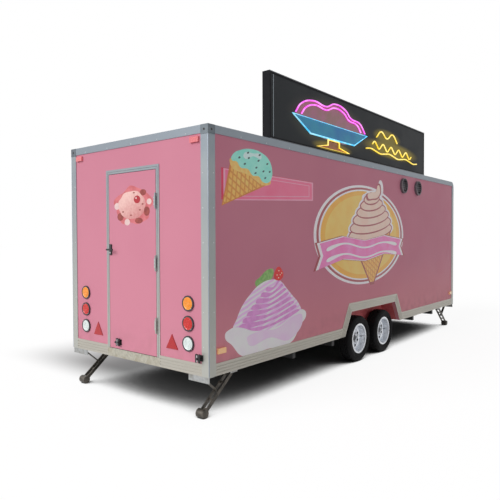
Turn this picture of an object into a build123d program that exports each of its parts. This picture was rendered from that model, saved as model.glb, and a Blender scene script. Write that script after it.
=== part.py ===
"""Tandem-axle food trailer: box body on a ladder chassis, with an A-frame drawbar.

Millimetres. X runs forward from the door end to the coupler, Y to the left, Z up.
The origin is on the ground, on the centreline, halfway along the overall length.
"""

from build123d import *
from math import cos, hypot, pi, sin, sqrt
import os

# Body box
body_length = 6100.0
body_width = 2000.0
body_height = 2100.0
body_bottom = 370.0
wall = 45.0
floor_thickness = 60.0
trim = 6.0                 # how far the aluminium sections stand out from the panels
post_face = 85.0
top_rail_face = 70.0
bottom_rail_face = 105.0
groove_width = 9.0
groove_depth = 4.5
groove_pitch = 26.0
groove_count = 3
nose_radius = 100.0        # rounded front edge of the roof
cap_height = 80.0
cap_skin = 2.0             # the corner castings stand proud of the sections
cap_round = 5.0

# Overall reach beyond the body box
drawbar_reach = 1250.0

# Wheels
tyre_radius = 280.0
tyre_width = 165.0
tyre_wall = 12.0
tyre_shoulder = 22.0       # depth of the shoulder below the tread
tread_inset = 30.0         # flat tread's edge inside the sidewall
sidewall_swell = 52.0      # where the sidewall is widest, out from the bead
wheel_inset = 28.0         # outer sidewall behind the body side
wheel_pitch = 690.0
axle_group = 3075.0        # centre of the wheel pair ahead of the door end
rim_radius = 183.0
rim_seat = 168.0
rim_half = 62.0
rim_skin = 6.0
rim_disc_offset = -20.0    # disc plane outboard of the wheel's middle
rim_hole_radius = 17.0
rim_hole_ring = 112.0
rim_hole_count = 8
hub_radius = 45.0
hub_cap_radius = 32.0
hub_cap_length = 16.0
spindle_radius = 20.0
running_gap = 0.05
seat_gap = 0.3

# Wheel arch in the body side
arch_top = 645.0
arch_top_half = 619.0
arch_foot_half = 781.0
box_depth = 178.0          # wheel box, inboard of the wall
box_skin = 4.0

# Chassis
rail_spread = 600.0
rail_width = 50.0
rail_height = 100.0
rail_web = 4.0
cross_width = 50.0
cross_height = 80.0
cross_count = 8
chassis_setback = 450.0    # the chassis starts this far in from the rear wall
beam_size = 70.0
beam_half = 690.0
arm_reach = 135.0
arm_thickness = 28.0
arm_radius = 34.0
drum_radius = 112.0
drum_width = 34.0

# Drawbar, coupler and jockey wheel
drawbar_width = 50.0
drawbar_height = 90.0
nose_gap = 30.0            # half the gap between the arms where they meet the coupler
coupler_length = 330.0
coupler_width = 62.0
coupler_height = 46.0
coupler_plate = 8.0
coupler_setback = 20.0     # coupler body's rear end ahead of its plate's
coupler_overhang = 140.0   # nose of the coupler beyond the arms' tips
socket_radius = 25.05
socket_depth = 34.0
socket_wall = 14.0
socket_drop = 6.0          # mouth of the socket below the plate's top
socket_round = 11.0
handle_outline = ((-50.0, 0.0), (-20.0, 0.0), (-30.0, 34.0), (-170.0, 74.0), (-176.0, 58.0), (-60.0, 24.0))
handle_half = 11.0
chain_hole_radius = 8.0
chain_lug_thickness = 8.0
chain_lug = (50.0, 44.0)
chain_hole_height = 24.0
jockey_back = 520.0        # stem axis behind the nose of the coupler
stem_radius = 24.0
stem_bore = 20.0
stem_top = 700.0
stem_depth = 130.0         # how far the fork's spindle reaches into the stem
clamp_height = 70.0
clamp_wall = 10.0
clamp_screw_radius = 7.0
clamp_screw_reach = 70.0   # beyond the stem
brace_gap = 4.0            # between the clamp's ring and the brace
crank_neck_radius = 9.0
crank_lift = 14.0
crank_reach = 112.0
crank_bar = (16.0, 12.0)
crank_grip_radius = 12.0
crank_grip_length = 90.0
jockey_radius = 100.0
jockey_tread = 50.0
jockey_trail = 42.0
fork_plate = 6.0
fork_gap = 6.0
fork_clearance = 18.0      # crown of the fork above the wheel
fork_drop = 12.0           # crown below the stem
fork_crown_back = 26.0
fork_foot = 16.0
jockey_hub_radius = 22.0
jockey_hub_stand = 3.0
jockey_web_sink = 8.0
jockey_web = (26.0, 68.0)
jockey_rim = 74.0
jockey_shoulder = (7.0, 10.0)
jockey_pin_radius = 8.0
jockey_pin_end = 3.0

# Rear door
frame_half = 391.0
frame_face = 40.0
frame_top = 2195.0
sill_top = 452.0
door_gap = 5.0
door_thickness = 40.0
door_hinge_out = 12.0      # hinge axis behind the door end's face
hinge_radius = 7.0
hinge_length = 90.0
hinge_count = 3
hinge_leaf = 3.0
hinge_plate = 26.0
hinge_web = 12.0
pin_gap = 0.5
fixed_knuckle = 26.0
handle_height = 1420.0
handle_side = 321.0
handle_plate = (34.0, 104.0)
handle_base = 10.0
handle_spindle = 9.0
handle_grip = (13.0, 16.0)
handle_lever = (82.0, 12.0)
handle_reach = 52.0
catch_height = 525.0
catch_width = 66.0
catch_tall = 50.0
catch_reach = 40.0
catch_base = 8.0
peg_radius = 10.0
peg_spread = 18.0
keeper_inset = 100.0       # keeper's middle inboard of the body side
keeper_reach = 52.0

# Serving hatch and counter on the left side
hatch_middle = 3000.0
hatch_width = 2600.0
hatch_bottom = 1180.0
hatch_top = 2130.0
hatch_frame_face = 40.0
hatch_hinge_out = 12.0
latch_spread = 850.0
latch_size = (110.0, 34.0)
latch_reach = 20.0
latch_lift = 20.0
hatch_plate = 30.0
counter_depth = 330.0
counter_thickness = 24.0
counter_stand = 2.0
counter_drop = 12.0        # counter hinge below the window frame
counter_hinge_radius = 7.0
counter_neck = 6.0
counter_end = 45.0         # the counter stops short of the window frame's ends

# Lamps and markers, placed from the body's side and top
lamp_inset = 245.0
lamp_low = 627.0
lamp_pitch = 172.5
lamp_radius = 67.0
lens_radius = 56.0
lamp_rim_depth = 14.0
lens_depth = 20.0
lens_round = 8.0
triangle_shift = 8.5       # reflector's middle, from halfway between door frame and lamp
triangle_low = 555.0
triangle_edge = 150.0
triangle_depth = 7.0
top_marker_inset = 155.0
top_marker_drop = 115.0
side_marker_height = 575.0
side_marker_inset = 152.0
marker_size = (100.0, 46.0)
marker_depth = 18.0

# Side vents
vent_drop = 218.0          # vents' middle below the roof
vent_places = (3960.0, 4475.0)
vent_radius = 105.0
vent_rim = 14.0
vent_back = 4.0
louvre_sink = 6.0
louvre_count = 6
louvre_thickness = 5.0

# Roof sign
sign_start = 1000.0
sign_length = 4050.0
sign_height = 670.0
sign_lift = 34.0
sign_depth = 90.0
sign_inset = 120.0
sign_border = 26.0
sign_foot = (120.0, 60.0)
sign_feet = 4
sign_face_depth = 8.0
sign_face_sink = 3.0

# Corner steadies
steady_side = 130.0        # leg's middle inboard of the body side
steady_foot_inset = 46.0
steady_run = 370.0
steady_width = 66.0
steady_bar = 11.0
steady_depth = 32.0
steady_rungs = 5
steady_rung = 16.0
steady_rung_thickness = 10.4
foot_radius = 38.0
foot_width = 84.0
pivot_drop = 32.0
pivot_radius = 9.0
pivot_end = 4.0
bracket_width = 250.0
bracket_height = 54.0
bracket_depth = 62.0
bracket_skin = 5.0
strut_width = 34.0
strut_thickness = 8.0
strut_share = 0.5          # where the strut meets the leg, from the foot
strut_pin = 8.0
strut_anchor = (37.0, 16.0)  # behind the bracket's web, and below its top
strut_lug = 20.0
hanger_length = 90.0
hanger_drop = 16.0

# Derived places
half_width = body_width / 2
body_top = body_bottom + body_height
panel_side = half_width - trim
panel_top = body_top - trim
inner_side = panel_side - wall
inner_top = panel_top - wall
rear_reach = keeper_reach
rear_x = -(body_length + drawbar_reach - rear_reach) / 2
front_x = rear_x + body_length
nose_x = front_x + drawbar_reach
panel_rear = rear_x + trim
panel_front = front_x - trim
inner_rear = panel_rear + wall
inner_front = panel_front - wall
chassis_rear = inner_rear + chassis_setback
floor_top = body_bottom + floor_thickness
frame_bottom = body_bottom - rail_height
side_signs = {"left": 1, "right": -1}

wheel_middle = half_width - wheel_inset - tyre_width / 2
spindle_end = wheel_middle + rim_disc_offset - seat_gap
arch_x = rear_x + axle_group
wheel_places = {"rear": arch_x - wheel_pitch / 2, "front": arch_x + wheel_pitch / 2}
arch_slope = (arch_foot_half - arch_top_half) / (arch_top - body_bottom)

drawbar_top = body_bottom
drawbar_low = drawbar_top - drawbar_height
arm_foot_x = inner_front
arm_tip_x = nose_x - coupler_overhang
drawbar_slant = (nose_gap + drawbar_width / 2 - rail_spread) / (arm_tip_x - arm_foot_x)
drawbar_half = drawbar_width / 2 * sqrt(1 + drawbar_slant ** 2)
coupler_rear_x = nose_x - coupler_length
coupler_plate_top = drawbar_top + coupler_plate
ball_x = nose_x - socket_radius - socket_wall
jockey_x = nose_x - jockey_back
jockey_axle_x = jockey_x - jockey_trail
brace_x = jockey_x - stem_radius - clamp_wall - brace_gap
fork_top = 2 * jockey_radius + fork_clearance
stem_low = fork_top + fork_drop

hinge_x = rear_x - door_hinge_out
hinge_y = -frame_half + frame_face
leaf_half = frame_half - frame_face - door_gap
leaf_low = sill_top + door_gap
leaf_high = frame_top - frame_face - door_gap
keeper_side = half_width - keeper_inset
catch_side = 2 * hinge_y + keeper_side   # meets the keeper when the door is swung right round

hatch_span = (rear_x + hatch_middle - hatch_width / 2, rear_x + hatch_middle + hatch_width / 2)
hatch_leaf_span = (hatch_span[0] + hatch_frame_face + door_gap, hatch_span[1] - hatch_frame_face - door_gap)
hatch_leaf_low = hatch_bottom + hatch_frame_face + door_gap
hatch_leaf_high = hatch_top - hatch_frame_face - door_gap
hatch_hinge_y = half_width + hatch_hinge_out
hatch_hinge_z = hatch_top - hatch_frame_face
counter_hinge_y = half_width + counter_stand + counter_thickness / 2
counter_hinge_z = hatch_bottom - counter_drop
counter_span = (hatch_span[0] + counter_end, hatch_span[1] - counter_end)

lamp_side = half_width - lamp_inset
triangle_side = (frame_half + lamp_side - lamp_radius) / 2 + triangle_shift
top_marker_side = half_width - top_marker_inset
top_marker_height = body_top - top_marker_drop
vent_height = body_top - vent_drop
vent_depth = trim + counter_stand + counter_thickness   # the vents stand out as far as the counter

sign_x = (rear_x + sign_start, rear_x + sign_start + sign_length)
sign_y = (-half_width + sign_inset, -half_width + sign_inset + sign_depth)
sign_z = (body_top + sign_lift, body_top + sign_lift + sign_height)

steady_y = half_width - steady_side
pivot_z = body_bottom - pivot_drop


def block(x, y, z):
    """A box from three (low, high) pairs."""
    spans = [abs(pair[1] - pair[0]) for pair in (x, y, z)]
    middle = [(pair[0] + pair[1]) / 2 for pair in (x, y, z)]
    return Pos(*middle) * Box(*spans)


def prism_y(points, y_low, y_high):
    """An outline in X and Z, given depth along Y."""
    plane = Plane(origin=(0, y_high, 0), x_dir=(1, 0, 0), z_dir=(0, -1, 0))
    return extrude(plane * Polygon(*points, align=None), amount=y_high - y_low, dir=(0, -1, 0))


def prism_x(points, x_low, x_high):
    """An outline in Y and Z, given depth along X."""
    plane = Plane(origin=(x_low, 0, 0), x_dir=(0, 1, 0), z_dir=(1, 0, 0))
    return extrude(plane * Polygon(*points, align=None), amount=x_high - x_low, dir=(1, 0, 0))


def prism_z(points, z_low, z_high):
    """An outline in X and Y, given height."""
    return extrude(Pos(0, 0, z_low) * Polygon(*points, align=None), amount=z_high - z_low, dir=(0, 0, 1))


def rod(start, end, radius):
    """A round bar between two points."""
    path = Vector(*end) - Vector(*start)
    plane = Plane(origin=start, z_dir=path.normalized())
    return extrude(plane * Circle(radius), amount=path.length)


def mirrored(piece):
    return mirror(piece, about=Plane.XZ)


def both_sides(piece):
    return [piece, mirrored(piece)]


def solids(*pieces):
    """Several separate solids that share a node."""
    flat = []
    for piece in pieces:
        flat += piece if isinstance(piece, list) else [piece]
    return Compound(children=[solid for piece in flat for solid in piece.solids()])


def edges_at(piece, x, z):
    """The edges along Y that pass through one point of the side elevation."""
    found = [edge for edge in piece.edges().filter_by(Axis.Y)
             if hypot(edge.center().X - x, edge.center().Z - z) < 0.01]
    return found


def arch_outline(offset, low, high=None):
    """The wheel arch's trapezoid, grown outwards by an offset and cut off at a low height."""
    grow = offset * sqrt(1 + arch_slope ** 2)
    top = arch_top + offset if high is None else high
    foot = arch_foot_half + grow + (body_bottom - low) * arch_slope
    crown = arch_foot_half + grow - (top - body_bottom) * arch_slope
    return [(arch_x - foot, low), (arch_x + foot, low), (arch_x + crown, top), (arch_x - crown, top)]


def nose_block(x, y, z, radius):
    """A box whose front top edge is rounded, however low the box is."""
    deep = block(x, y, (z[1] - 3 * radius, z[1]))
    deep = fillet(edges_at(deep, x[1], z[1]), radius)
    if z[1] - z[0] > 3 * radius:
        return deep + block(x, y, (z[0], z[1] - 2 * radius))
    return deep - block((x[0] - 1, x[1] + 1), (y[0] - 1, y[1] + 1), (z[1] - 3 * radius - 1, z[0]))


def side_wall_blank(y_low, y_high):
    plate = nose_block((panel_rear, panel_front), (y_low, y_high), (body_bottom, panel_top),
                       nose_radius - trim)
    return plate - prism_y(arch_outline(0, body_bottom - 1), y_low - 1, y_high + 1)


# Chassis

def chassis_rails():
    outer = block((chassis_rear, inner_front), (rail_spread - rail_width / 2, rail_spread + rail_width / 2),
                  (frame_bottom, body_bottom))
    hollow = block((chassis_rear - 1, inner_front + 1),
                   (rail_spread - rail_width / 2 - 1, rail_spread + rail_width / 2 - rail_web),
                   (frame_bottom + rail_web, body_bottom - rail_web))
    return solids(both_sides(outer - hollow))


def cross_places():
    pitch = (inner_front - chassis_rear - cross_width) / (cross_count - 1)
    return [chassis_rear + cross_width / 2 + pitch * index for index in range(cross_count)]


def chassis_crossmembers():
    inner = rail_spread + rail_width / 2 - rail_web
    members = []
    for place in cross_places():
        span = (place - cross_width / 2, place + cross_width / 2)
        members.append(block(span, (-inner, inner),
                             (body_bottom - rail_web - cross_height, body_bottom - rail_web)))
    return solids(members)


def chassis_outriggers():
    """Short arms from the rails out to the body's sides, clear of the wheel arch."""
    outriggers = []
    for place in cross_places()[1:-1]:
        if abs(place - arch_x) < arch_foot_half + cross_width:
            continue
        span = (place - cross_width / 2, place + cross_width / 2)
        outriggers += both_sides(block(span, (rail_spread + rail_width / 2, inner_side),
                                       (body_bottom - cross_height, body_bottom)))
    return solids(outriggers)


def axle_beams():
    beams = []
    for place in wheel_places.values():
        middle = place + arm_reach
        beams.append(block((middle - beam_size / 2, middle + beam_size / 2), (-beam_half, beam_half),
                           (frame_bottom - beam_size, frame_bottom)))
    return solids(beams)


def axle_arms():
    arms = []
    pivot_z = frame_bottom - beam_size / 2
    drum_face = wheel_middle - rim_half - rim_skin - door_gap
    for place in wheel_places.values():
        pivot = (place + arm_reach, pivot_z)
        low = beam_half
        high = beam_half + arm_thickness
        along = Vector(place - pivot[0], 0, tyre_radius - pivot_z).normalized()
        side = Vector(-along.Z, 0, along.X) * arm_radius
        web = prism_y([(pivot[0] + side.X, pivot[1] + side.Z), (place + side.X, tyre_radius + side.Z),
                       (place - side.X, tyre_radius - side.Z), (pivot[0] - side.X, pivot[1] - side.Z)],
                      low, high)
        arm = web + rod((pivot[0], low, pivot[1]), (pivot[0], high, pivot[1]), arm_radius)
        arm += rod((place, low, tyre_radius), (place, high, tyre_radius), arm_radius)
        arm += rod((place, high, tyre_radius), (place, drum_face - drum_width, tyre_radius), arm_radius)
        arm += rod((place, drum_face - drum_width, tyre_radius), (place, drum_face, tyre_radius), drum_radius)
        arm += rod((place, drum_face, tyre_radius), (place, spindle_end, tyre_radius), spindle_radius)
        arms += both_sides(arm)
    return solids(arms)


# Wheels

def tyre_profile():
    """Half section of the tyre in radius and width, closed round its carcass."""
    bead = rim_seat + seat_gap
    bead_side = rim_half - seat_gap
    half = tyre_width / 2
    shoulder = tyre_radius - tyre_shoulder
    outer = [(bead, bead_side), (rim_radius + 1.0, bead_side), (rim_radius + 8.0, rim_half + rim_skin + 4.0),
             (bead + sidewall_swell, half), (shoulder - tyre_wall, half - 2.0),
             (shoulder + 10.0, half - tyre_wall), (tyre_radius, half - tread_inset)]
    inner = [(bead, bead_side - tyre_wall), (bead + sidewall_swell / 2, rim_half - tyre_wall),
             (bead + sidewall_swell, half - tyre_wall), (shoulder - tyre_wall - 4.0, half - tyre_wall - 6.0)]
    return outer, inner


def ring_y(points, centre):
    """Turns an outline of (radius, width) points round a wheel's axis."""
    plane = Plane(origin=centre, x_dir=(1, 0, 0), z_dir=(0, 0, 1))
    sketch = plane * Polygon(*points, align=None)
    axis = Axis(centre, (0, 1, 0))
    return revolve(sketch, axis=axis, revolution_arc=360)


def tyre(centre):
    outer, inner = tyre_profile()
    crown = inner[-1][0] + 16.0
    section = [(r, w) for r, w in outer] + [(r, -w) for r, w in reversed(outer)]
    cavity = ([(r, w) for r, w in inner] + [(crown, inner[-1][1] - 20.0), (crown, -(inner[-1][1] - 20.0))]
              + [(r, -w) for r, w in reversed(inner)])
    return ring_y(section, centre) - ring_y([(cavity[0][0] - 1, cavity[0][1])] + cavity[1:-1]
                                            + [(cavity[-1][0] - 1, cavity[-1][1])], centre)


def rim(centre, sign):
    """Steel disc wheel with its hub; the disc faces the side that the sign gives."""
    seat_in = rim_seat - rim_skin
    barrel = ring_y([(seat_in, -rim_half - rim_skin), (rim_radius, -rim_half - rim_skin),
                     (rim_radius, -rim_half), (rim_seat, -rim_half), (rim_seat, rim_half),
                     (rim_radius, rim_half), (rim_radius, rim_half + rim_skin),
                     (seat_in, rim_half + rim_skin)], centre)
    face = rim_disc_offset * sign
    disc = ring_y([(spindle_radius + running_gap, face - rim_skin), (seat_in, face - rim_skin),
                   (seat_in, face + rim_skin), (spindle_radius + running_gap, face + rim_skin)], centre)
    back = -(rim_half + rim_skin) * sign
    low, high = sorted((back, face))
    hub = ring_y([(spindle_radius + running_gap, low), (hub_radius, low),
                  (hub_radius, high), (spindle_radius + running_gap, high)], centre)
    cap_low, cap_high = sorted((face, face + (rim_skin + hub_cap_length) * sign))
    cap = rod((centre[0], centre[1] + cap_low, centre[2]), (centre[0], centre[1] + cap_high, centre[2]),
              hub_cap_radius)
    wheel = barrel + disc + hub + cap
    for index in range(rim_hole_count):
        turn = 2 * pi * (index + 0.5) / rim_hole_count
        x = centre[0] + rim_hole_ring * cos(turn)
        z = centre[2] + rim_hole_ring * sin(turn)
        wheel -= rod((x, centre[1] + face - 2 * rim_skin, z), (x, centre[1] + face + 2 * rim_skin, z),
                     rim_hole_radius)
    return wheel


# Drawbar, coupler and jockey wheel

def arm_side(x):
    """Side distance of a drawbar arm's middle at a place along the trailer."""
    return rail_spread + drawbar_slant * (x - arm_foot_x)


def drawbar_arms():
    foot = arm_side(arm_foot_x)
    tip = arm_side(arm_tip_x)
    arm = prism_z([(arm_foot_x, foot - drawbar_half), (arm_tip_x, tip - drawbar_half),
                   (arm_tip_x, tip + drawbar_half), (arm_foot_x, foot + drawbar_half)],
                  drawbar_low, drawbar_top)
    return solids(both_sides(arm))


def drawbar_brace():
    """Cross bar between the arms that carries the jockey clamp."""
    low = brace_x - drawbar_width
    rear, front = [arm_side(x) - drawbar_half for x in (low, brace_x)]
    return prism_z([(low, -rear), (brace_x, -front), (brace_x, front), (low, rear)],
                   drawbar_low, drawbar_top)


def coupler():
    """Pressed coupler on a flat plate across the two arms, with its ball socket."""
    reach = nose_gap + drawbar_width
    body = block((coupler_rear_x, arm_tip_x), (-reach, reach), (drawbar_top, coupler_plate_top))
    body += block((coupler_rear_x + coupler_setback, ball_x), (-coupler_width / 2, coupler_width / 2),
                  (coupler_plate_top, coupler_plate_top + coupler_height))
    cup_low = coupler_plate_top - socket_drop
    cup_high = cup_low + socket_depth + socket_wall
    cup = rod((ball_x, 0, cup_low), (ball_x, 0, cup_high), socket_radius + socket_wall)
    body += fillet(cup.edges().filter_by(GeomType.CIRCLE).sort_by(Axis.Z)[-1], socket_round)
    body -= rod((ball_x, 0, cup_low - 1), (ball_x, 0, cup_low + socket_depth), socket_radius)
    length, height = chain_lug
    hole_x = coupler_rear_x + length / 2
    hole_z = coupler_plate_top + chain_hole_height
    for sign in side_signs.values():
        near, far = sorted((sign * (reach - chain_lug_thickness), sign * reach))
        body += block((coupler_rear_x, coupler_rear_x + length), (near, far),
                      (coupler_plate_top, coupler_plate_top + height))
        body -= rod((hole_x, near - 1, hole_z), (hole_x, far + 1, hole_z), chain_hole_radius)
    return body


def coupler_handle():
    base = coupler_plate_top + coupler_height
    return prism_y([(ball_x + x, base + z) for x, z in handle_outline], -handle_half, handle_half)


def jockey_clamp():
    """Ring clamp bolted to the brace, round the jockey stem."""
    low = drawbar_low + (drawbar_height - clamp_height) / 2
    high = low + clamp_height
    outer = stem_radius + clamp_wall
    clamp = rod((jockey_x, 0, low), (jockey_x, 0, high), outer)
    clamp += block((brace_x, jockey_x), (-outer, outer), (low, high))
    clamp += rod((jockey_x, outer - clamp_wall / 2, (low + high) / 2),
                 (jockey_x, stem_radius + clamp_screw_reach, (low + high) / 2), clamp_screw_radius)
    return clamp - rod((jockey_x, 0, low - 1), (jockey_x, 0, high + 1), stem_radius + seat_gap)


def jockey_stem():
    """Stem tube with its crank; the fork's spindle runs in the foot."""
    tube = rod((jockey_x, 0, stem_low), (jockey_x, 0, stem_top), stem_radius)
    tube -= rod((jockey_x, 0, stem_low - 1), (jockey_x, 0, stem_low + stem_depth + brace_gap),
                stem_bore + running_gap)
    width, height = crank_bar
    crank_z = stem_top + crank_lift
    grip_x = jockey_x + crank_reach
    tube += rod((jockey_x, 0, stem_top), (jockey_x, 0, crank_z + height / 2), crank_neck_radius)
    tube += block((jockey_x - width / 2, grip_x + width / 2), (-width / 2, width / 2),
                  (crank_z - height / 2, crank_z + height / 2))
    tube += rod((grip_x, 0, crank_z), (grip_x, 0, crank_z + crank_grip_length), crank_grip_radius)
    return tube


def jockey_fork():
    inner = jockey_tread / 2 + fork_gap
    outer = inner + fork_plate
    crown = (jockey_axle_x - fork_crown_back, jockey_x + stem_radius)
    crown_low = fork_top - fork_plate
    fork = rod((jockey_x, 0, crown_low), (jockey_x, 0, stem_low + stem_depth), stem_bore)
    fork += block(crown, (-outer, outer), (crown_low, fork_top))
    cheek = prism_y([(jockey_axle_x - fork_foot, jockey_radius - fork_foot),
                     (jockey_axle_x + fork_foot, jockey_radius - fork_foot),
                     (crown[1], crown_low), (crown[0], crown_low)], inner, outer)
    for piece in both_sides(cheek):
        fork += piece
    end = outer + jockey_pin_end
    return fork + rod((jockey_axle_x, -end, jockey_radius), (jockey_axle_x, end, jockey_radius),
                      jockey_pin_radius)


def jockey_wheel():
    bore = jockey_pin_radius + running_gap
    half = jockey_tread / 2
    shoulder_in, shoulder_down = jockey_shoulder
    side = [(bore, half + jockey_hub_stand), (jockey_hub_radius, half + jockey_hub_stand),
            (jockey_web[0], half - jockey_web_sink), (jockey_web[1], half - jockey_web_sink),
            (jockey_rim, half), (jockey_radius - shoulder_in, half), (jockey_radius, half - shoulder_down)]
    outline = [(radius, -width) for radius, width in side] + side[::-1]
    return ring_y(outline, (jockey_axle_x, 0, jockey_radius))


# Body panels

def floor_panel():
    slab = block((inner_rear, inner_front), (-inner_side, inner_side), (body_bottom, floor_top))
    for sign in side_signs.values():
        cut = prism_y(arch_outline(box_skin, body_bottom - 1, arch_top + box_skin),
                      *sorted((sign * (inner_side - box_depth - box_skin), sign * (inner_side + 1))))
        slab -= cut
    return slab


def roof_panel():
    bend = nose_radius - trim
    outer = nose_block((panel_rear, panel_front), (-inner_side, inner_side),
                       (panel_top - bend, panel_top), bend)
    inner = nose_block((panel_rear - 1, inner_front), (-inner_side - 1, inner_side + 1),
                       (panel_top - bend - 1, inner_top), bend - wall)
    return outer - inner


def front_wall():
    return block((inner_front, panel_front), (-inner_side, inner_side),
                 (body_bottom, panel_top - nose_radius + trim))


def rear_wall():
    plate = block((panel_rear, inner_rear), (-inner_side, inner_side), (body_bottom, inner_top))
    return plate - block((panel_rear - 1, inner_rear + 1), (-frame_half, frame_half),
                         (body_bottom - 1, frame_top))


def right_wall():
    return side_wall_blank(-panel_side, -inner_side)


def left_wall():
    plate = side_wall_blank(inner_side, panel_side)
    return plate - block(hatch_span, (inner_side - 1, panel_side + 1), (hatch_bottom, hatch_top))


def wheel_boxes():
    """Plates of the box over each pair of wheels: its crown, two sloped ends and inner side."""
    outer = arch_outline(box_skin, body_bottom)
    inner = arch_outline(0, body_bottom)
    back = inner_side - box_depth
    plates = [prism_y([outer[start], outer[end], inner[end], inner[start]], back, inner_side)
              for start, end in ((1, 2), (2, 3), (3, 0))]
    plates.append(prism_y(outer, back - box_skin, back))
    return solids(*[both_sides(plate) for plate in plates])


# Aluminium sections

def corner_posts():
    rear = block((rear_x, rear_x + post_face), (half_width - post_face, half_width),
                 (body_bottom, body_top - cap_height))
    rear -= block((panel_rear, rear_x + post_face + 1), (half_width - post_face - 1, panel_side),
                  (body_bottom - 1, body_top))
    front = block((front_x - post_face, front_x), (half_width - post_face, half_width),
                  (body_bottom, body_top - nose_radius))
    front -= block((front_x - post_face - 1, panel_front), (half_width - post_face - 1, panel_side),
                   (body_bottom - 1, body_top))
    return solids(both_sides(rear), both_sides(front))


def top_rails():
    start = rear_x + post_face
    side = nose_block((start, front_x), (half_width - top_rail_face, half_width),
                      (body_top - nose_radius, body_top), nose_radius)
    side -= nose_block((start - 1, panel_front), (half_width - top_rail_face - 1, panel_side),
                       (body_top - nose_radius - 1, panel_top), nose_radius - trim)
    waste = block((start - 1, front_x - nose_radius), (panel_side - 1, half_width + 1),
                  (body_top - nose_radius - 1, body_top - top_rail_face))
    bend = rod((front_x - nose_radius, panel_side - 1, body_top - nose_radius),
               (front_x - nose_radius, half_width + 1, body_top - nose_radius), nose_radius - top_rail_face)
    side = side - waste - bend
    inside = half_width - post_face
    rear = block((rear_x, rear_x + top_rail_face), (-inside, inside), (body_top - top_rail_face, body_top))
    rear -= block((panel_rear, rear_x + top_rail_face + 1), (-inside - 1, inside + 1),
                  (body_top - top_rail_face - 1, panel_top))
    return solids(both_sides(side), rear)


def corner_caps():
    low = body_top - cap_height
    cap = block((rear_x - cap_skin, rear_x + post_face), (half_width - post_face, half_width + cap_skin),
                (low, body_top + cap_skin))
    outer = (rear_x - cap_skin, half_width + cap_skin, body_top + cap_skin)
    rounded = [edge for edge in cap.edges()
               if sum(abs(place - limit) < 0.01 for place, limit in zip(edge.center(), outer)) == 2]
    cap = fillet(rounded, cap_round)
    cap -= block((panel_rear, rear_x + post_face + 1), (half_width - post_face - 1, panel_side),
                 (low - 1, panel_top))
    return solids(both_sides(cap))


def grooved(piece, x, y):
    """Cuts the lengthwise grooves into a bottom rail's outer face."""
    for index in range(groove_count):
        middle = body_bottom + bottom_rail_face / 2 + groove_pitch * (index - (groove_count - 1) / 2)
        piece -= block(x, y, (middle - groove_width / 2, middle + groove_width / 2))
    return piece


def bottom_rails():
    low = body_bottom
    high = body_bottom + bottom_rail_face
    outline = arch_outline(bottom_rail_face, low, high)
    rear_part = prism_y([(rear_x + post_face, low), outline[0], outline[3], (rear_x + post_face, high)],
                        panel_side, half_width)
    front_part = prism_y([outline[1], (front_x - post_face, low), (front_x - post_face, high), outline[2]],
                         panel_side, half_width)
    side_cut = ((rear_x, front_x), (half_width - groove_depth, half_width + 1))
    sides = [grooved(part, *side_cut) for part in (rear_part, front_part)]
    inside = half_width - post_face
    rear = block((rear_x, panel_rear), (frame_half, inside), (low, high))
    rear = grooved(rear, (rear_x - 1, rear_x + groove_depth), (frame_half - 1, inside + 1))
    front = block((panel_front, front_x), (-inside, inside), (low, high))
    return solids(*[both_sides(piece) for piece in (*sides, rear)], front)


def arch_trims():
    band = prism_y(arch_outline(bottom_rail_face, body_bottom), panel_side, half_width)
    band -= prism_y(arch_outline(0, body_bottom - 1), panel_side - 1, half_width + 1)
    for index in range(groove_count):
        middle = bottom_rail_face / 2 + groove_pitch * (index - (groove_count - 1) / 2)
        cutter = prism_y(arch_outline(middle + groove_width / 2, body_bottom - 1),
                         half_width - groove_depth, half_width + 1)
        cutter -= prism_y(arch_outline(middle - groove_width / 2, body_bottom - 2),
                          half_width - groove_depth - 1, half_width + 2)
        band -= cutter
    return solids(both_sides(band))


# Rear door

def door_frame():
    """Frame round the leaf, with the fixed knuckles above and below each of the door's."""
    frame = block((rear_x, inner_rear), (-frame_half, frame_half), (sill_top, frame_top))
    frame -= block((rear_x - 1, inner_rear + 1), (-frame_half + frame_face, frame_half - frame_face),
                   (sill_top - 1, frame_top - frame_face))
    for height in hinge_heights():
        for sign in side_signs.values():
            near = height + sign * (hinge_length / 2 + pin_gap)
            span = sorted((near, near + sign * fixed_knuckle))
            frame += rod((hinge_x, hinge_y, span[0]), (hinge_x, hinge_y, span[1]), hinge_radius)
            frame += block((hinge_x, rear_x + 1), (hinge_y - hinge_radius, hinge_y), span)
    return frame


def door_sill():
    return block((rear_x, inner_rear), (-frame_half, frame_half), (body_bottom, sill_top))


def door_leaf():
    return block((rear_x, rear_x + door_thickness), (-leaf_half, leaf_half), (leaf_low, leaf_high))


def hinge_heights():
    step = (leaf_high - leaf_low) / hinge_count
    return [leaf_low + step * (index + 0.5) for index in range(hinge_count)]


def door_hinges():
    """Knuckles and their leaf plates, on the door's side of each hinge."""
    pieces = []
    for height in hinge_heights():
        span = (height - hinge_length / 2, height + hinge_length / 2)
        knuckle = rod((hinge_x, hinge_y, span[0]), (hinge_x, hinge_y, span[1]), hinge_radius)
        plate = block((rear_x - hinge_leaf, rear_x), (-leaf_half, -leaf_half + hinge_plate), span)
        web = prism_z([(rear_x, -leaf_half + hinge_web), (rear_x, -leaf_half),
                       (hinge_x, hinge_y - hinge_leaf),
                       (hinge_x - hinge_radius * 0.7, hinge_y + hinge_leaf)], *span)
        pieces.append(knuckle + plate + web)
    return solids(pieces)


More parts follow.
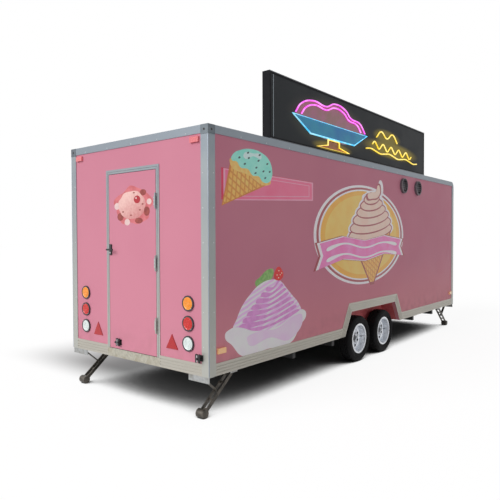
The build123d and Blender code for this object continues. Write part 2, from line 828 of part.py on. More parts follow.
def door_handle():
    """Lever handle on its plate."""
    width, height = handle_plate
    grip_depth, grip_height = handle_grip
    lever_in, lever_out = handle_lever
    grip_x = rear_x - handle_reach + grip_depth
    handle = block((rear_x - handle_base, rear_x), (handle_side - width / 2, handle_side + width / 2),
                   (handle_height - height / 2, handle_height + height / 2))
    handle += rod((rear_x - handle_base, handle_side, handle_height), (grip_x, handle_side, handle_height),
                  handle_spindle)
    handle += block((rear_x - handle_reach, grip_x), (handle_side - lever_in, handle_side + lever_out),
                    (handle_height - grip_height / 2, handle_height + grip_height / 2))
    return handle


def catch_plate(y):
    """The plate that both halves of the catch have, at one side distance."""
    return block((rear_x - catch_base, rear_x), (y - catch_width / 2, y + catch_width / 2),
                 (catch_height - catch_tall / 2, catch_height + catch_tall / 2))


def door_catch():
    """Two-peg catch near the door's foot."""
    catch = catch_plate(catch_side)
    for sign in side_signs.values():
        y = catch_side + sign * peg_spread
        catch += rod((rear_x - catch_base, y, catch_height), (rear_x - catch_reach, y, catch_height),
                     peg_radius)
    return catch


def door_keeper():
    """Mating part beside the right rear post, where the catch comes when the door is swung right round."""
    keeper = catch_plate(-keeper_side)
    keeper += block((rear_x, panel_rear), (post_face - half_width, catch_width / 2 - keeper_side),
                    (catch_height - catch_tall / 2, catch_height + catch_tall / 2))
    keeper += block((rear_x - keeper_reach, rear_x - catch_base),
                    (-keeper_side - peg_radius, peg_radius - keeper_side),
                    (catch_height - peg_radius, catch_height + peg_radius))
    return keeper


# Serving hatch and counter

def hatch_frame():
    """Window frame, with the fixed ends of the hatch's hinge and of the counter's hinge."""
    frame = block(hatch_span, (inner_side, half_width), (hatch_bottom, hatch_top))
    frame -= block((hatch_span[0] + hatch_frame_face, hatch_span[1] - hatch_frame_face),
                   (inner_side - 1, half_width + 1),
                   (hatch_bottom + hatch_frame_face, hatch_top - hatch_frame_face))
    ends = ((hatch_span[0], hatch_leaf_span[0] - pin_gap), (hatch_leaf_span[1] + pin_gap, hatch_span[1]))
    for low, high in ends:
        frame += rod((low, hatch_hinge_y, hatch_hinge_z), (high, hatch_hinge_y, hatch_hinge_z), hinge_radius)
        frame += block((low, high), (half_width - 1, hatch_hinge_y),
                       (hatch_hinge_z - hinge_radius, hatch_hinge_z + hinge_radius))
    ends = ((hatch_span[0], counter_span[0] - pin_gap), (counter_span[1] + pin_gap, hatch_span[1]))
    for low, high in ends:
        frame += rod((low, counter_hinge_y, counter_hinge_z), (high, counter_hinge_y, counter_hinge_z),
                     counter_hinge_radius)
        frame += block((low, high), (panel_side, counter_hinge_y),
                       (counter_hinge_z - counter_hinge_radius, hatch_bottom))
    return frame


def hatch_leaf():
    return block(hatch_leaf_span, (half_width - door_thickness, half_width),
                 (hatch_leaf_low, hatch_leaf_high))


def hatch_hinge():
    """Full-length hinge along the leaf's top edge."""
    start, end = hatch_leaf_span
    knuckle = rod((start, hatch_hinge_y, hatch_hinge_z), (end, hatch_hinge_y, hatch_hinge_z), hinge_radius)
    plate = block(hatch_leaf_span, (half_width, half_width + hinge_leaf),
                  (hatch_leaf_high - hatch_plate, hatch_leaf_high))
    web = prism_x([(half_width, hatch_leaf_high), (half_width, hatch_leaf_high - hinge_web),
                   (hatch_hinge_y + hinge_radius * 0.7, hatch_hinge_z - hinge_leaf),
                   (hatch_hinge_y, hatch_hinge_z + hinge_leaf)], *hatch_leaf_span)
    return knuckle + plate + web


def hatch_latches():
    width, height = latch_size
    pieces = []
    for sign in side_signs.values():
        x = rear_x + hatch_middle + sign * latch_spread
        pieces.append(block((x - width / 2, x + width / 2), (half_width, half_width + latch_reach),
                            (hatch_leaf_low + latch_lift, hatch_leaf_low + latch_lift + height)))
    return solids(pieces)


def counter_leaf():
    top = counter_hinge_z - counter_hinge_radius
    slab = block(counter_span, (half_width + counter_stand, half_width + counter_stand + counter_thickness),
                 (top - counter_depth, top))
    knuckle = rod((counter_span[0], counter_hinge_y, counter_hinge_z),
                  (counter_span[1], counter_hinge_y, counter_hinge_z), counter_hinge_radius)
    neck = block(counter_span, (counter_hinge_y - counter_neck / 2, counter_hinge_y + counter_neck / 2),
                 (top - 1.0, counter_hinge_z))
    return slab + knuckle + neck


# Lamps, markers, vents

def lamp_places():
    heights = [lamp_low + lamp_pitch * row for row in range(3)]
    return [(sign * lamp_side, height) for sign in side_signs.values() for height in heights]


def lamp_rims():
    pieces = []
    for y, z in lamp_places():
        ring = rod((panel_rear, y, z), (panel_rear - lamp_rim_depth, y, z), lamp_radius)
        ring -= rod((panel_rear + 1, y, z), (panel_rear - lamp_rim_depth - 1, y, z), lens_radius)
        pieces.append(ring)
    return solids(pieces)


def lenses(row):
    """One row of lamp lenses, counted from the lowest, on both sides."""
    pieces = []
    for y, z in lamp_places()[row::3]:
        lens = rod((panel_rear, y, z), (panel_rear - lens_depth, y, z), lens_radius)
        lens = fillet(lens.edges().filter_by(GeomType.CIRCLE).sort_by(Axis.X)[0], lens_round)
        pieces.append(lens)
    return solids(pieces)


def triangle_reflectors():
    tall = triangle_edge * sqrt(3) / 2
    piece = prism_x([(triangle_side - triangle_edge / 2, triangle_low),
                     (triangle_side + triangle_edge / 2, triangle_low),
                     (triangle_side, triangle_low + tall)], panel_rear - triangle_depth, panel_rear)
    return solids(both_sides(piece))


def red_markers():
    width, height = marker_size
    piece = block((panel_rear - marker_depth, panel_rear),
                  (top_marker_side - width / 2, top_marker_side + width / 2),
                  (top_marker_height - height / 2, top_marker_height + height / 2))
    return solids(both_sides(piece))


def amber_markers():
    width, height = marker_size
    pieces = []
    for x in (rear_x + side_marker_inset, front_x - side_marker_inset):
        pieces += both_sides(block((x - width / 2, x + width / 2), (panel_side, panel_side + marker_depth),
                                   (side_marker_height - height / 2, side_marker_height + height / 2)))
    return solids(pieces)


def side_vents():
    """Round louvred covers on the right side."""
    face = -panel_side - vent_depth
    bore = vent_radius - vent_rim
    pieces = []
    for place in vent_places:
        x = rear_x + place
        cover = rod((x, -panel_side, vent_height), (x, face, vent_height), vent_radius)
        cover -= rod((x, -panel_side - vent_back, vent_height), (x, face - 1, vent_height), bore)
        for index in range(louvre_count):
            rise = (index - (louvre_count - 1) / 2) * 2 * bore / louvre_count
            half = sqrt(vent_radius ** 2 - rise ** 2) - vent_rim / 2
            low = vent_height + rise - louvre_thickness / 2
            cover += block((x - half, x + half), (face + louvre_sink, -panel_side - vent_back / 2),
                           (low, low + louvre_thickness))
        pieces.append(cover)
    return solids(pieces)


# Roof sign

def sign_cabinet():
    cabinet = block(sign_x, sign_y, sign_z)
    recess = block((sign_x[0] + sign_border, sign_x[1] - sign_border),
                   (sign_y[0] - 1, sign_y[0] + sign_face_depth),
                   (sign_z[0] + sign_border, sign_z[1] - sign_border))
    return cabinet - recess


def sign_face():
    return block((sign_x[0] + sign_border, sign_x[1] - sign_border),
                 (sign_y[0] + sign_face_sink, sign_y[0] + sign_face_depth),
                 (sign_z[0] + sign_border, sign_z[1] - sign_border))


def sign_feet_pads():
    length, width = sign_foot
    pitch = (sign_length - 2 * length) / (sign_feet - 1)
    middle = (sign_y[0] + sign_y[1]) / 2
    pads = []
    for index in range(sign_feet):
        x = sign_x[0] + length + pitch * index
        pads.append(block((x - length / 2, x + length / 2), (middle - width / 2, middle + width / 2),
                          (panel_top, sign_z[0])))
    return solids(pads)


# Corner steadies

def bar_outline(start, end, thickness):
    """Outline in X and Z of a straight bar between two points."""
    along = (end - start).normalized()
    side = Vector(-along.Z, 0, along.X) * (thickness / 2)
    corners = [start + side, end + side, end - side, start - side]
    return [(corner.X, corner.Z) for corner in corners]


def steady_leg(foot, pivot, join):
    """Ladder-like leg: two bars and their rungs, the round foot, the pivot and the strut's pin."""
    low = steady_y - steady_width / 2
    high = steady_y + steady_width / 2
    outline = bar_outline(foot, pivot, steady_depth)
    leg = prism_y(outline, low, low + steady_bar) + prism_y(outline, high - steady_bar, high)
    run = pivot - foot
    half = run.normalized() * (steady_rung / 2)
    for index in range(steady_rungs):
        middle = foot + run * ((index + 0.5) / steady_rungs)
        leg += prism_y(bar_outline(middle - half, middle + half, steady_rung_thickness), low, high)
    across = steady_width / 2
    rods = ((foot, foot_radius, foot_width / 2), (pivot, pivot_radius, across + pivot_end),
            (join, strut_pin, across))
    for place, radius, reach in rods:
        leg += rod((place.X, steady_y - reach, place.Z), (place.X, steady_y + reach, place.Z), radius)
    return leg


def steady_bracket(corner_x, inward, anchor):
    """Pressed bracket across the corner, open below, with two lugs and a pin for the strut."""
    web = tuple(sorted((corner_x + inward * trim, corner_x + inward * (trim + bracket_skin))))
    flange = tuple(sorted((corner_x + inward * trim, corner_x + inward * (trim + bracket_depth))))
    side = (half_width - bracket_width, half_width - trim)
    bracket = block(web, side, (body_bottom - bracket_height, body_bottom))
    bracket += block(flange, side, (body_bottom - bracket_skin, body_bottom))
    inner = strut_width / 2 + seat_gap
    outer = inner + bracket_skin
    for low in (steady_y - outer, steady_y + inner):
        bracket += block((anchor.X - strut_lug / 2, anchor.X + strut_lug / 2), (low, low + bracket_skin),
                         (anchor.Z - strut_lug / 2, body_bottom - bracket_skin))
    bracket += rod((anchor.X, steady_y - outer, anchor.Z), (anchor.X, steady_y + outer, anchor.Z), strut_pin)
    return bracket


def steady_corner(corner_x, inward):
    """Legs, brackets and struts at one end of the body; inward is +1 at the door end."""
    foot = Vector(corner_x + inward * steady_foot_inset, 0, foot_radius)
    pivot = Vector(foot.X + inward * steady_run, 0, pivot_z)
    join = foot + (pivot - foot) * strut_share
    anchor_in, anchor_down = strut_anchor
    anchor = Vector(corner_x + inward * (trim + anchor_in), 0, body_bottom - bracket_skin - anchor_down)
    end_gap = (anchor - join).normalized() * (strut_pin + seat_gap)
    strut = prism_y(bar_outline(join + end_gap, anchor - end_gap, strut_thickness),
                    steady_y - strut_width / 2, steady_y + strut_width / 2)
    reach = steady_width / 2 + pivot_end
    brackets = [steady_bracket(corner_x, inward, anchor)]
    for low in (steady_y + reach, steady_y - reach - bracket_skin):
        brackets.append(block((pivot.X - hanger_length / 2, pivot.X + hanger_length / 2),
                              (low, low + bracket_skin), (pivot_z - hanger_drop, body_bottom)))
    return {"legs": both_sides(steady_leg(foot, pivot, join)), "struts": both_sides(strut),
            "brackets": [half for piece in brackets for half in both_sides(piece)]}


def steadies(kind):
    return solids(steady_corner(rear_x, 1)[kind], steady_corner(front_x, -1)[kind])


def wheel_nodes():
    nodes = {}
    for end, x in wheel_places.items():
        for side, sign in side_signs.items():
            centre = (x, sign * wheel_middle, tyre_radius)
            nodes[f"tyre_{end}_{side}"] = tyre(centre)
            nodes[f"rim_{end}_{side}"] = rim(centre, sign)
    return nodes


def all_nodes():
    nodes = {
        "chassis_rails": chassis_rails(),
        "chassis_crossmembers": chassis_crossmembers(),
        "chassis_outriggers": chassis_outriggers(),
        "axle_beams": axle_beams(),
        "axle_arms": axle_arms(),
        "drawbar_arms": drawbar_arms(),
        "drawbar_brace": drawbar_brace(),
        "coupler": coupler(),
        "coupler_handle": coupler_handle(),
        "jockey_clamp": jockey_clamp(),
        "jockey_stem": jockey_stem(),
        "jockey_fork": jockey_fork(),
        "jockey_wheel": jockey_wheel(),
        "floor_panel": floor_panel(),
        "roof_panel": roof_panel(),
        "front_wall": front_wall(),
        "rear_wall": rear_wall(),
        "right_wall": right_wall(),
        "left_wall": left_wall(),
        "wheel_boxes": wheel_boxes(),
        "corner_posts": corner_posts(),
        "top_rails": top_rails(),
        "corner_caps": corner_caps(),
        "bottom_rails": bottom_rails(),
        "arch_trims": arch_trims(),
        "door_frame": door_frame(),
        "door_sill": door_sill(),
        "door_leaf": door_leaf(),
        "door_hinges": door_hinges(),
        "door_handle": door_handle(),
        "door_catch": door_catch(),
        "door_keeper": door_keeper(),
        "hatch_frame": hatch_frame(),
        "hatch_leaf": hatch_leaf(),
        "hatch_hinge": hatch_hinge(),
        "hatch_latches": hatch_latches(),
        "counter_leaf": counter_leaf(),
        "lamp_rims": lamp_rims(),
        "white_lamps": lenses(0),
        "red_lamps": lenses(1),
        "amber_lamps": lenses(2),
        "triangle_reflectors": triangle_reflectors(),
        "red_markers": red_markers(),
        "amber_markers": amber_markers(),
        "side_vents": side_vents(),
        "sign_cabinet": sign_cabinet(),
        "sign_face": sign_face(),
        "sign_feet": sign_feet_pads(),
        "steady_brackets": steadies("brackets"),
        "steady_legs": steadies("legs"),
        "steady_struts": steadies("struts"),
    }
    nodes.update(wheel_nodes())
    return nodes


os.makedirs("parts", exist_ok=True)
for name, shape in all_nodes().items():
    export_step(shape, f"parts/{name}.step")
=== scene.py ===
import bpy
from functools import partialmethod
from math import atan2, cos, hypot, pi, radians, sin
from mathutils import Matrix, Vector


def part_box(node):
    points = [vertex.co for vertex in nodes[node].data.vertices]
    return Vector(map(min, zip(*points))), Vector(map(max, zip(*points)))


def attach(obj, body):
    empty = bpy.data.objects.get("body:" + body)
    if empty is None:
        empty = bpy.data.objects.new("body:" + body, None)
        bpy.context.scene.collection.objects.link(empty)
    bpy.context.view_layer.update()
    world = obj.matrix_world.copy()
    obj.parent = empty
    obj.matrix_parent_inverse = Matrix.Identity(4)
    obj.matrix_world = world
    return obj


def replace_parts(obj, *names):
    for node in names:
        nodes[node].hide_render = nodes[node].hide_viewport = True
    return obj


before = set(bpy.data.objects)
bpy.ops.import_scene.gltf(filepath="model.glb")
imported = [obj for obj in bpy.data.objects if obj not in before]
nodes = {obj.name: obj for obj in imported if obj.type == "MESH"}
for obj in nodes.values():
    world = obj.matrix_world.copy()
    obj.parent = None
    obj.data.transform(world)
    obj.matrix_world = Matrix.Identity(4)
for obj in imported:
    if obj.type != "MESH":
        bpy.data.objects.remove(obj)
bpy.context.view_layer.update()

# The body's main places, in metres, read from the frame
REAR_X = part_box("rear_wall")[0].x               # outer face of the rear panel
FRONT_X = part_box("roof_panel")[1].x
RIGHT_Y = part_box("right_wall")[0].y             # outer face of the right panel
LEFT_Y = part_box("left_wall")[1].y
FLOOR_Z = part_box("rear_wall")[0].z              # underside of the body
ROOF_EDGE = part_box("top_rails")[1].z            # top of the side rails
ARCH_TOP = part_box("wheel_boxes")[1].z
POST_LOW, POST_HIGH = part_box("corner_posts")
PRINT_BASE = FLOOR_Z - 0.35                     # the prints' heights are counted from here


# Shader expressions

class Field:
    """A value that varies over a surface. Arithmetic on it adds maths nodes."""

    def __init__(self, tree, socket):
        self.tree = tree
        self.socket = socket

    def maths(self, operation, *others):
        return self.tree.node("Math", {"operation": operation}, [self, *others])

    __add__ = partialmethod(maths, "ADD")
    __sub__ = partialmethod(maths, "SUBTRACT")
    __mul__ = partialmethod(maths, "MULTIPLY")
    over = partialmethod(maths, "GREATER_THAN")
    under = partialmethod(maths, "LESS_THAN")

    def ramp(self, low, high, start=0.0, end=1.0):
        """Maps low..high smoothly onto start..end and holds it there."""
        return self.tree.node("MapRange", {"interpolation_type": "SMOOTHSTEP"},
                              {"Value": self, "From Min": low, "From Max": high,
                               "To Min": start, "To Max": end})


class Tree:
    """The nodes of a material or a world in the making."""

    def __init__(self, owner):
        owner.use_nodes = True
        self.owner = owner
        self.nodes = owner.node_tree.nodes
        self.links = owner.node_tree.links

    def node(self, kind, settings=None, inputs=None, output=0):
        made = self.nodes.new("ShaderNode" + kind)
        for key, value in (settings or {}).items():
            setattr(made, key, value)
        pairs = inputs.items() if isinstance(inputs, dict) else enumerate(inputs or [])
        for key, value in pairs:
            self.feed(made.inputs[key], value)
        return Field(self, made.outputs[output])

    def feed(self, socket, value):
        if isinstance(value, Field):
            self.links.new(value.socket, socket)
        else:
            socket.default_value = value

    def place(self):
        return self.node("TexCoord", None, None, "Object")

    def axes(self):
        """The X, Y and Z of a place on the surface."""
        split = self.node("SeparateXYZ", None, {"Vector": self.place()})
        return [Field(self, socket) for socket in split.socket.node.outputs]

    def seen(self):
        """One where the camera sees the surface, straight, mirrored or through glass."""
        path = self.nodes.new("ShaderNodeLightPath").outputs
        straight, mirrored, through = [Field(self, path[f"Is {kind} Ray"])
                                       for kind in ("Camera", "Glossy", "Transmission")]
        return straight.maths("MAXIMUM", mirrored).maths("MAXIMUM", through)

    def blend(self, factor, first, second):
        return self.node("MixShader", None, [factor, first, second])

    def surface(self, kind, shader):
        output = self.nodes.new("ShaderNodeOutput" + kind)
        self.feed(output.inputs["Surface"], shader)


class Paint(Tree):
    """A material under its own name: a Principled shader and the nodes that feed it."""

    made = {}

    def __init__(self, name, constants):
        super().__init__(bpy.data.materials.new(name))
        self.shader = self.nodes["Principled BSDF"]
        for socket, value in constants.items():
            self.shader.inputs[socket].default_value = value
        Paint.made[name] = self.owner

    def to(self, socket, value):
        self.feed(self.shader.inputs[socket], value)

    def mapped(self, scale=(1, 1, 1), turn=(0, 0, 0)):
        return self.node("Mapping", None, {"Vector": self.place(), "Scale": scale, "Rotation": turn})

    def noise(self, scale, detail=3.0, roughness=0.5, vector=None):
        return self.node("TexNoise", None, {"Vector": vector or self.place(), "Scale": scale,
                                            "Detail": detail, "Roughness": roughness})

    def cells(self, scale, randomness, output="Distance"):
        return self.node("TexVoronoi", None, {"Vector": self.place(), "Scale": scale,
                                              "Randomness": randomness}, output)

    def bands(self, direction, turn, scale, distortion=0.0, detail=2.0, detail_scale=1.0):
        """Waves along one axis of the turned surface."""
        return self.node("TexWave", {"wave_type": "BANDS", "bands_direction": direction},
                         {"Vector": self.mapped(turn=turn), "Scale": scale, "Distortion": distortion,
                          "Detail": detail, "Detail Scale": detail_scale}, "Fac")

    def mix(self, factor, first, second):
        """A blend of two colours."""
        return self.node("Mix", {"data_type": "RGBA"}, {0: factor, 6: first, 7: second}, 2)

    def base(self, factor, first, second):
        """Sets the surface's colour, and gives it back."""
        colour = self.mix(factor, first, second)
        self.to("Base Color", colour)
        return colour

    def relief(self, height, distance, strength=0.5):
        self.to("Normal", self.node("Bump", None, {"Height": height, "Distance": distance,
                                                   "Strength": strength}))


def rgb(red, green, blue):
    """A colour given as display values from 0 to 255."""
    def linear(value):
        share = value / 255
        return share / 12.92 if share <= 0.04045 else ((share + 0.055) / 1.055) ** 2.4
    return (linear(red), linear(green), linear(blue), 1.0)


def grey(level):
    return (level, level, level, 1.0)


def stronger(colour, factor, limit=1.0):
    return tuple(min(limit, value * factor) for value in colour[:3]) + (1.0,)


def vivid(colour, strength=1.5):
    """An ink colour raised above its own: painted light, so that it reads bright on the shaded side."""
    return stronger(colour, strength, 0.95)


# Finishes

# Half widths inside which a wall is its white inner face: above the wheel boxes, and at any height
INNER_HALF_WIDTH, INNER_HALF_WIDTH_LOW = 0.965, 0.951
END_PANEL = 0.03                                # depth in which the end panels stay pink
JOCKEY_HUB = 0.0745                             # radius of the jockey wheel's plastic centre
SCOOP_HEIGHT = 1.83                             # middle of the door's printed scoop
# Light of the tubes on the sign's face: middle, reach and colour
SIGN_GLOWS = (((-1.42, 2.80), (1.00, 0.33), rgb(66, 62, 44)),
              ((0.22, 2.72), (0.98, 0.135), rgb(150, 132, 40)),
              ((0.05, 2.88), (0.48, 0.115), rgb(140, 124, 40)),
              ((-1.42, 2.55), (0.50, 0.075), rgb(140, 122, 40)))


def pink_panel():
    """Coated sandwich panel: even pink, faint waviness, a little road film low down, and painted floor
    bounce light making the sides lighter and warmer towards the bottom.
    """
    paint = Paint("pink coated panel", {"Roughness": 0.5, "Specular IOR Level": 0.14})
    x, y, z = paint.axes()
    cloud = paint.noise(0.7, 2.0)
    reach = y.maths("ABSOLUTE")
    behind = (reach.under(INNER_HALF_WIDTH) * z.over(ARCH_TOP + 0.02)).maths(
        "MAXIMUM", reach.under(INNER_HALF_WIDTH_LOW))
    inside = behind * x.over(REAR_X + END_PANEL) * x.under(FRONT_X - END_PANEL)
    film = z.ramp(FLOOR_Z + 0.45, FLOOR_Z + 0.05) * paint.noise(9.0, 4.0).ramp(0.35, 0.75) * 0.3
    # painted floor bounce light: lighter and warmer towards the bottom of the sides
    lightening = z.ramp(FLOOR_Z + 0.95, FLOOR_Z + 0.12) * x.over(REAR_X + 0.02) * 0.5
    base = paint.mix(cloud.ramp(0.3, 0.7), rgb(206, 131, 151), rgb(212, 138, 157))
    outside = paint.mix(film, paint.mix(lightening, base, rgb(236, 156, 162)), rgb(176, 122, 128))
    paint.base(inside, outside, rgb(226, 226, 222))
    paint.to("Roughness", paint.noise(3.0, 3.0).ramp(0.2, 0.8, 0.46, 0.56) + film * 0.4)
    paint.relief(paint.noise(1.6, 1.0) * 0.8 + paint.noise(160.0, 2.0) * 0.02, 0.004, 0.35)


def aluminium(name, colour, roughness, direction, metallic=0.4, painted_bounce_colour=None):
    """Satin metal with a fine grain along its length; a section may be painted lighter and warmer near the
    ground, as floor bounce light.
    """
    paint = Paint(name, {"Metallic": metallic, "Roughness": roughness})
    grain = paint.noise(1.0, 3.0, 0.6, paint.mapped(direction))
    tone = paint.noise(2.5, 3.0).ramp(0.3, 0.7)
    light = stronger(colour, 1.1)
    if painted_bounce_colour:
        # painted floor bounce light: the colour turns lighter and warmer towards the ground
        height = paint.axes()[2]
        colour = paint.mix(height.ramp(FLOOR_Z, ROOF_EDGE), painted_bounce_colour, colour)
        light = rgb(172, 176, 174)
    paint.base(tone * 0.3 + grain * 0.2, colour, light)
    paint.to("Roughness", grain.ramp(0.3, 0.7, roughness - 0.07, roughness + 0.07))
    paint.relief(grain, 0.0002, 0.3)


def galvanised(name, colour, dark):
    """Hot-dip zinc: flat spangles of slightly different greys."""
    paint = Paint(name, {"Metallic": 0.8, "Roughness": 0.42})
    shade = paint.node("SeparateColor", None, {"Color": paint.cells(55.0, 1.0, "Color")})
    stain = paint.noise(11.0, 4.0).ramp(0.42, 0.7)
    base = paint.mix(shade, colour, stronger(colour, 0.78))
    paint.base(stain * 0.55, base, dark)
    paint.to("Roughness", shade * 0.16 + stain * 0.2 + 0.32)
    paint.relief(paint.noise(60.0, 2.0), 0.001, 0.3)


def plain(name, colour, second, roughness, metallic=0.0, scale=8.0, specular=0.5):
    """A cast, moulded or painted surface with some tone variation and a fine texture."""
    paint = Paint(name, {"Metallic": metallic, "Roughness": roughness, "Specular IOR Level": specular})
    tone = paint.noise(scale, 4.0).ramp(0.35, 0.7)
    paint.base(tone, colour, second)
    paint.to("Roughness", tone * 0.14 + (roughness - 0.07))
    paint.relief(paint.noise(220.0, 2.0), 0.0003)


def lens(name, colour, bright):
    """Moulded lens: brighter cells painted on as glints, and a faint painted glow of its own colour."""
    paint = Paint(name, {"Roughness": 0.16, "Coat Weight": 0.4, "Coat Roughness": 0.06,
                         "Emission Strength": 0.10})
    glint = paint.cells(230.0, 0.15).ramp(0.1, 0.55, 1.0, 0.0)
    # painted glow: the lens emits its own colour though the lamp is unlit
    paint.to("Emission Color", paint.base(glint * 0.7, colour, bright))
    paint.relief(glint, 0.0006)


def reflector():
    """Prismatic reflector: a fine grid of cells under a smooth face."""
    paint = Paint("red reflector", {"Roughness": 0.3, "Coat Weight": 0.1, "Coat Roughness": 0.1})
    cells = paint.cells(300.0, 0.0)
    paint.base(cells.ramp(0.1, 0.6), rgb(208, 34, 42), rgb(150, 14, 24))
    paint.relief(cells, 0.0004)


def floor_plate():
    """Tread plate on the floor's board: short raised bars, crossed."""
    paint = Paint("tread plate floor", {"Metallic": 0.7, "Roughness": 0.36})
    def bars(turn):
        return (paint.bands("X", (0, 0, turn), 24.0).ramp(0.55, 0.85)
                * paint.bands("Y", (0, 0, turn), 7.0).ramp(0.5, 0.8))
    raised = bars(pi / 4) + bars(-pi / 4)
    scuff = paint.noise(5.0, 5.0).ramp(0.4, 0.7)
    paint.base(scuff * 0.7 + raised * 0.2, rgb(150, 153, 156), rgb(120, 120, 118))
    paint.relief(raised, 0.002, 0.8)


def tyre_rubber():
    """Black rubber with a dusty bloom."""
    paint = Paint("tyre rubber", {"Roughness": 0.85, "Specular IOR Level": 0.2})
    lightening = paint.noise(9.0, 5.0).ramp(0.4, 0.75)
    paint.base(lightening * 0.8, rgb(11, 11, 13), rgb(22, 21, 21))
    paint.to("Roughness", lightening * 0.15 + 0.78)
    paint.relief(paint.noise(260.0, 2.0) + paint.noise(40.0, 2.0) * 0.5, 0.0006)


def jockey_rubber():
    """Black tread round a grey plastic wheel centre."""
    paint = Paint("jockey wheel", {"Roughness": 0.6})
    middle = middle_of("jockey_wheel")
    x, _, z = paint.axes()
    across, rise = x - middle.x, z - middle.z
    tread = (across * across + rise * rise).maths("SQRT").over(JOCKEY_HUB)
    grain = paint.noise(60.0, 3.0)
    paint.base(tread, rgb(120, 124, 130), rgb(34, 34, 36))
    paint.to("Roughness", grain * 0.2 + 0.48)
    paint.relief(grain, 0.0005)


def ink(name):
    """Ink under a satin laminate."""
    return Paint(name, {"Roughness": 0.34})


def scoop_ink():
    """Printed scoop: lit from the upper left, with the rough grain of frozen cream."""
    paint = Paint("scoop ink", {"Roughness": 0.36})
    _, y, z = paint.axes()
    slope = (z - (SCOOP_HEIGHT + PRINT_BASE)) * 3.2 + (y + 0.01) * 1.6
    grain = paint.noise(34.0, 5.0, 0.62).ramp(0.35, 0.7)
    lit = (slope + grain * 0.35).ramp(-0.75, 0.95)
    paint.base(lit, rgb(206, 128, 128), rgb(246, 204, 196))
    paint.to("Roughness", grain * 0.08 + 0.32)
    paint.relief(grain, 0.0006, 0.4)


def wafer_ink():
    """Printed wafer: a diamond grid of darker lines."""
    paint = ink("wafer ink")
    def lines(turn):
        return paint.bands("X", (0, radians(turn), 0), 5.6, 0.6, 1.0).ramp(0.05, 0.35, 1.0, 0.0)
    grid = lines(62) + lines(-8)
    tone = paint.noise(18.0, 3.0)
    # inks raised by vivid: painted light on the shaded side
    base = paint.mix(tone.ramp(0.35, 0.65), vivid(rgb(232, 172, 92)), vivid(rgb(222, 156, 74)))
    paint.base(grid.maths("MINIMUM", 1.0) * 0.75, base, vivid(rgb(184, 112, 46)))
    paint.to("Roughness", tone * 0.08 + 0.3)


def lilac_ink():
    """Piped cream: soft slanting bands of light and shade."""
    paint = ink("lilac ink")
    bands = paint.bands("Z", (0, radians(18), 0), 7.5, 2.2, 2.0, 1.2).ramp(0.1, 0.95)
    tone = paint.noise(26.0, 3.0)
    # inks raised by vivid: painted light on the shaded side
    paint.base(bands * 0.8 + tone * 0.2, vivid(rgb(232, 166, 220)),
                                     vivid(rgb(248, 206, 240)))
    paint.to("Roughness", tone * 0.08 + 0.3)


def printed(name, colour, second, scale=6.0, strength=1.5):
    """Printed film: even ink with a faint grain, satin laminate over it."""
    paint = ink(name)
    tone = paint.noise(scale, 4.0).ramp(0.3, 0.7)
    dots = paint.noise(420.0, 1.0).ramp(0.45, 0.6)
    # strength raises the ink above its own colour as painted light; the door's inks keep 1.0
    paint.base(tone * 0.8 + dots * 0.12, vivid(colour, strength),
                                     vivid(second, strength))
    paint.to("Roughness", tone * 0.08 + 0.3)


def neon(name, colour, core):
    """Lit tube: bright along its length, with a slightly uneven glow."""
    paint = Paint(name, {"Roughness": 0.3, "Emission Strength": 0.85})
    uneven = paint.noise(14.0, 2.0).ramp(0.35, 0.7)
    paint.to("Emission Color", paint.base(uneven * 0.7, colour, core))


def lit_sheet(name, colour, second):
    """Coloured sheet behind the tubes, faintly lit by them."""
    paint = Paint(name, {"Roughness": 0.5, "Emission Strength": 0.3})
    uneven = paint.noise(4.0, 2.0).ramp(0.3, 0.7)
    paint.to("Emission Color", paint.base(uneven, colour, second))


def sign_sheet():
    """Black sign face, with the tubes' light lying on it as a soft glow."""
    paint = Paint("sign face sheet", {"Roughness": 0.6, "Emission Strength": 0.55,
                                      "Specular IOR Level": 0.15})
    x, _, z = paint.axes()
    tone = paint.noise(3.0, 3.0).ramp(0.3, 0.7)
    paint.base(tone, rgb(40, 43, 46), rgb(46, 49, 52))
    glow = grey(0.0)
    for (middle, height), (width, rise), colour in SIGN_GLOWS:
        across = (x - middle) * (1 / width)
        up = (z - (height + PRINT_BASE)) * (1 / rise)
        near = (across * across + up * up).maths("SQRT").ramp(0.55, 1.0, 1.0, 0.0)
        glow = paint.mix(near, glow, colour)
    paint.to("Emission Color", glow)
    paint.to("Roughness", tone * 0.1 + 0.52)


# Studio

FLOOR_SIZE = 160.0
FLOOR_BOUNCE = 0.62              # how pale the floor is as a source of light
FLOOR_WHITE = 1.3                # how pale the camera sees it
SHADOW_REACH = 1.2
SHADOW_DARK = 0.24               # openness at which the floor is black
SHADOW_CLEAR = 0.46              # openness from which it is white
SIDE_SHADOW = (0.1, 2.3, 0.85)   # fade start and end beside the left wall, and strength
SKY_STRENGTH = 0.46
KEY_STRENGTH = 2.1
KEY_FROM = Vector((-1.0, 0.30, 0.60))


def side_light(tree):
    """The light left beside the left wall, where the photo's shadow reaches past the body."""
    near, far, strength = SIDE_SHADOW
    x, y, _ = tree.axes()
    dark = (x.ramp(REAR_X, REAR_X + 0.7) * x.ramp(FRONT_X + 0.3, FRONT_X - 0.8)
            * y.ramp(LEFT_Y - 0.5, LEFT_Y) * y.ramp(LEFT_Y + far, LEFT_Y + near))
    return dark * -strength + 1.0


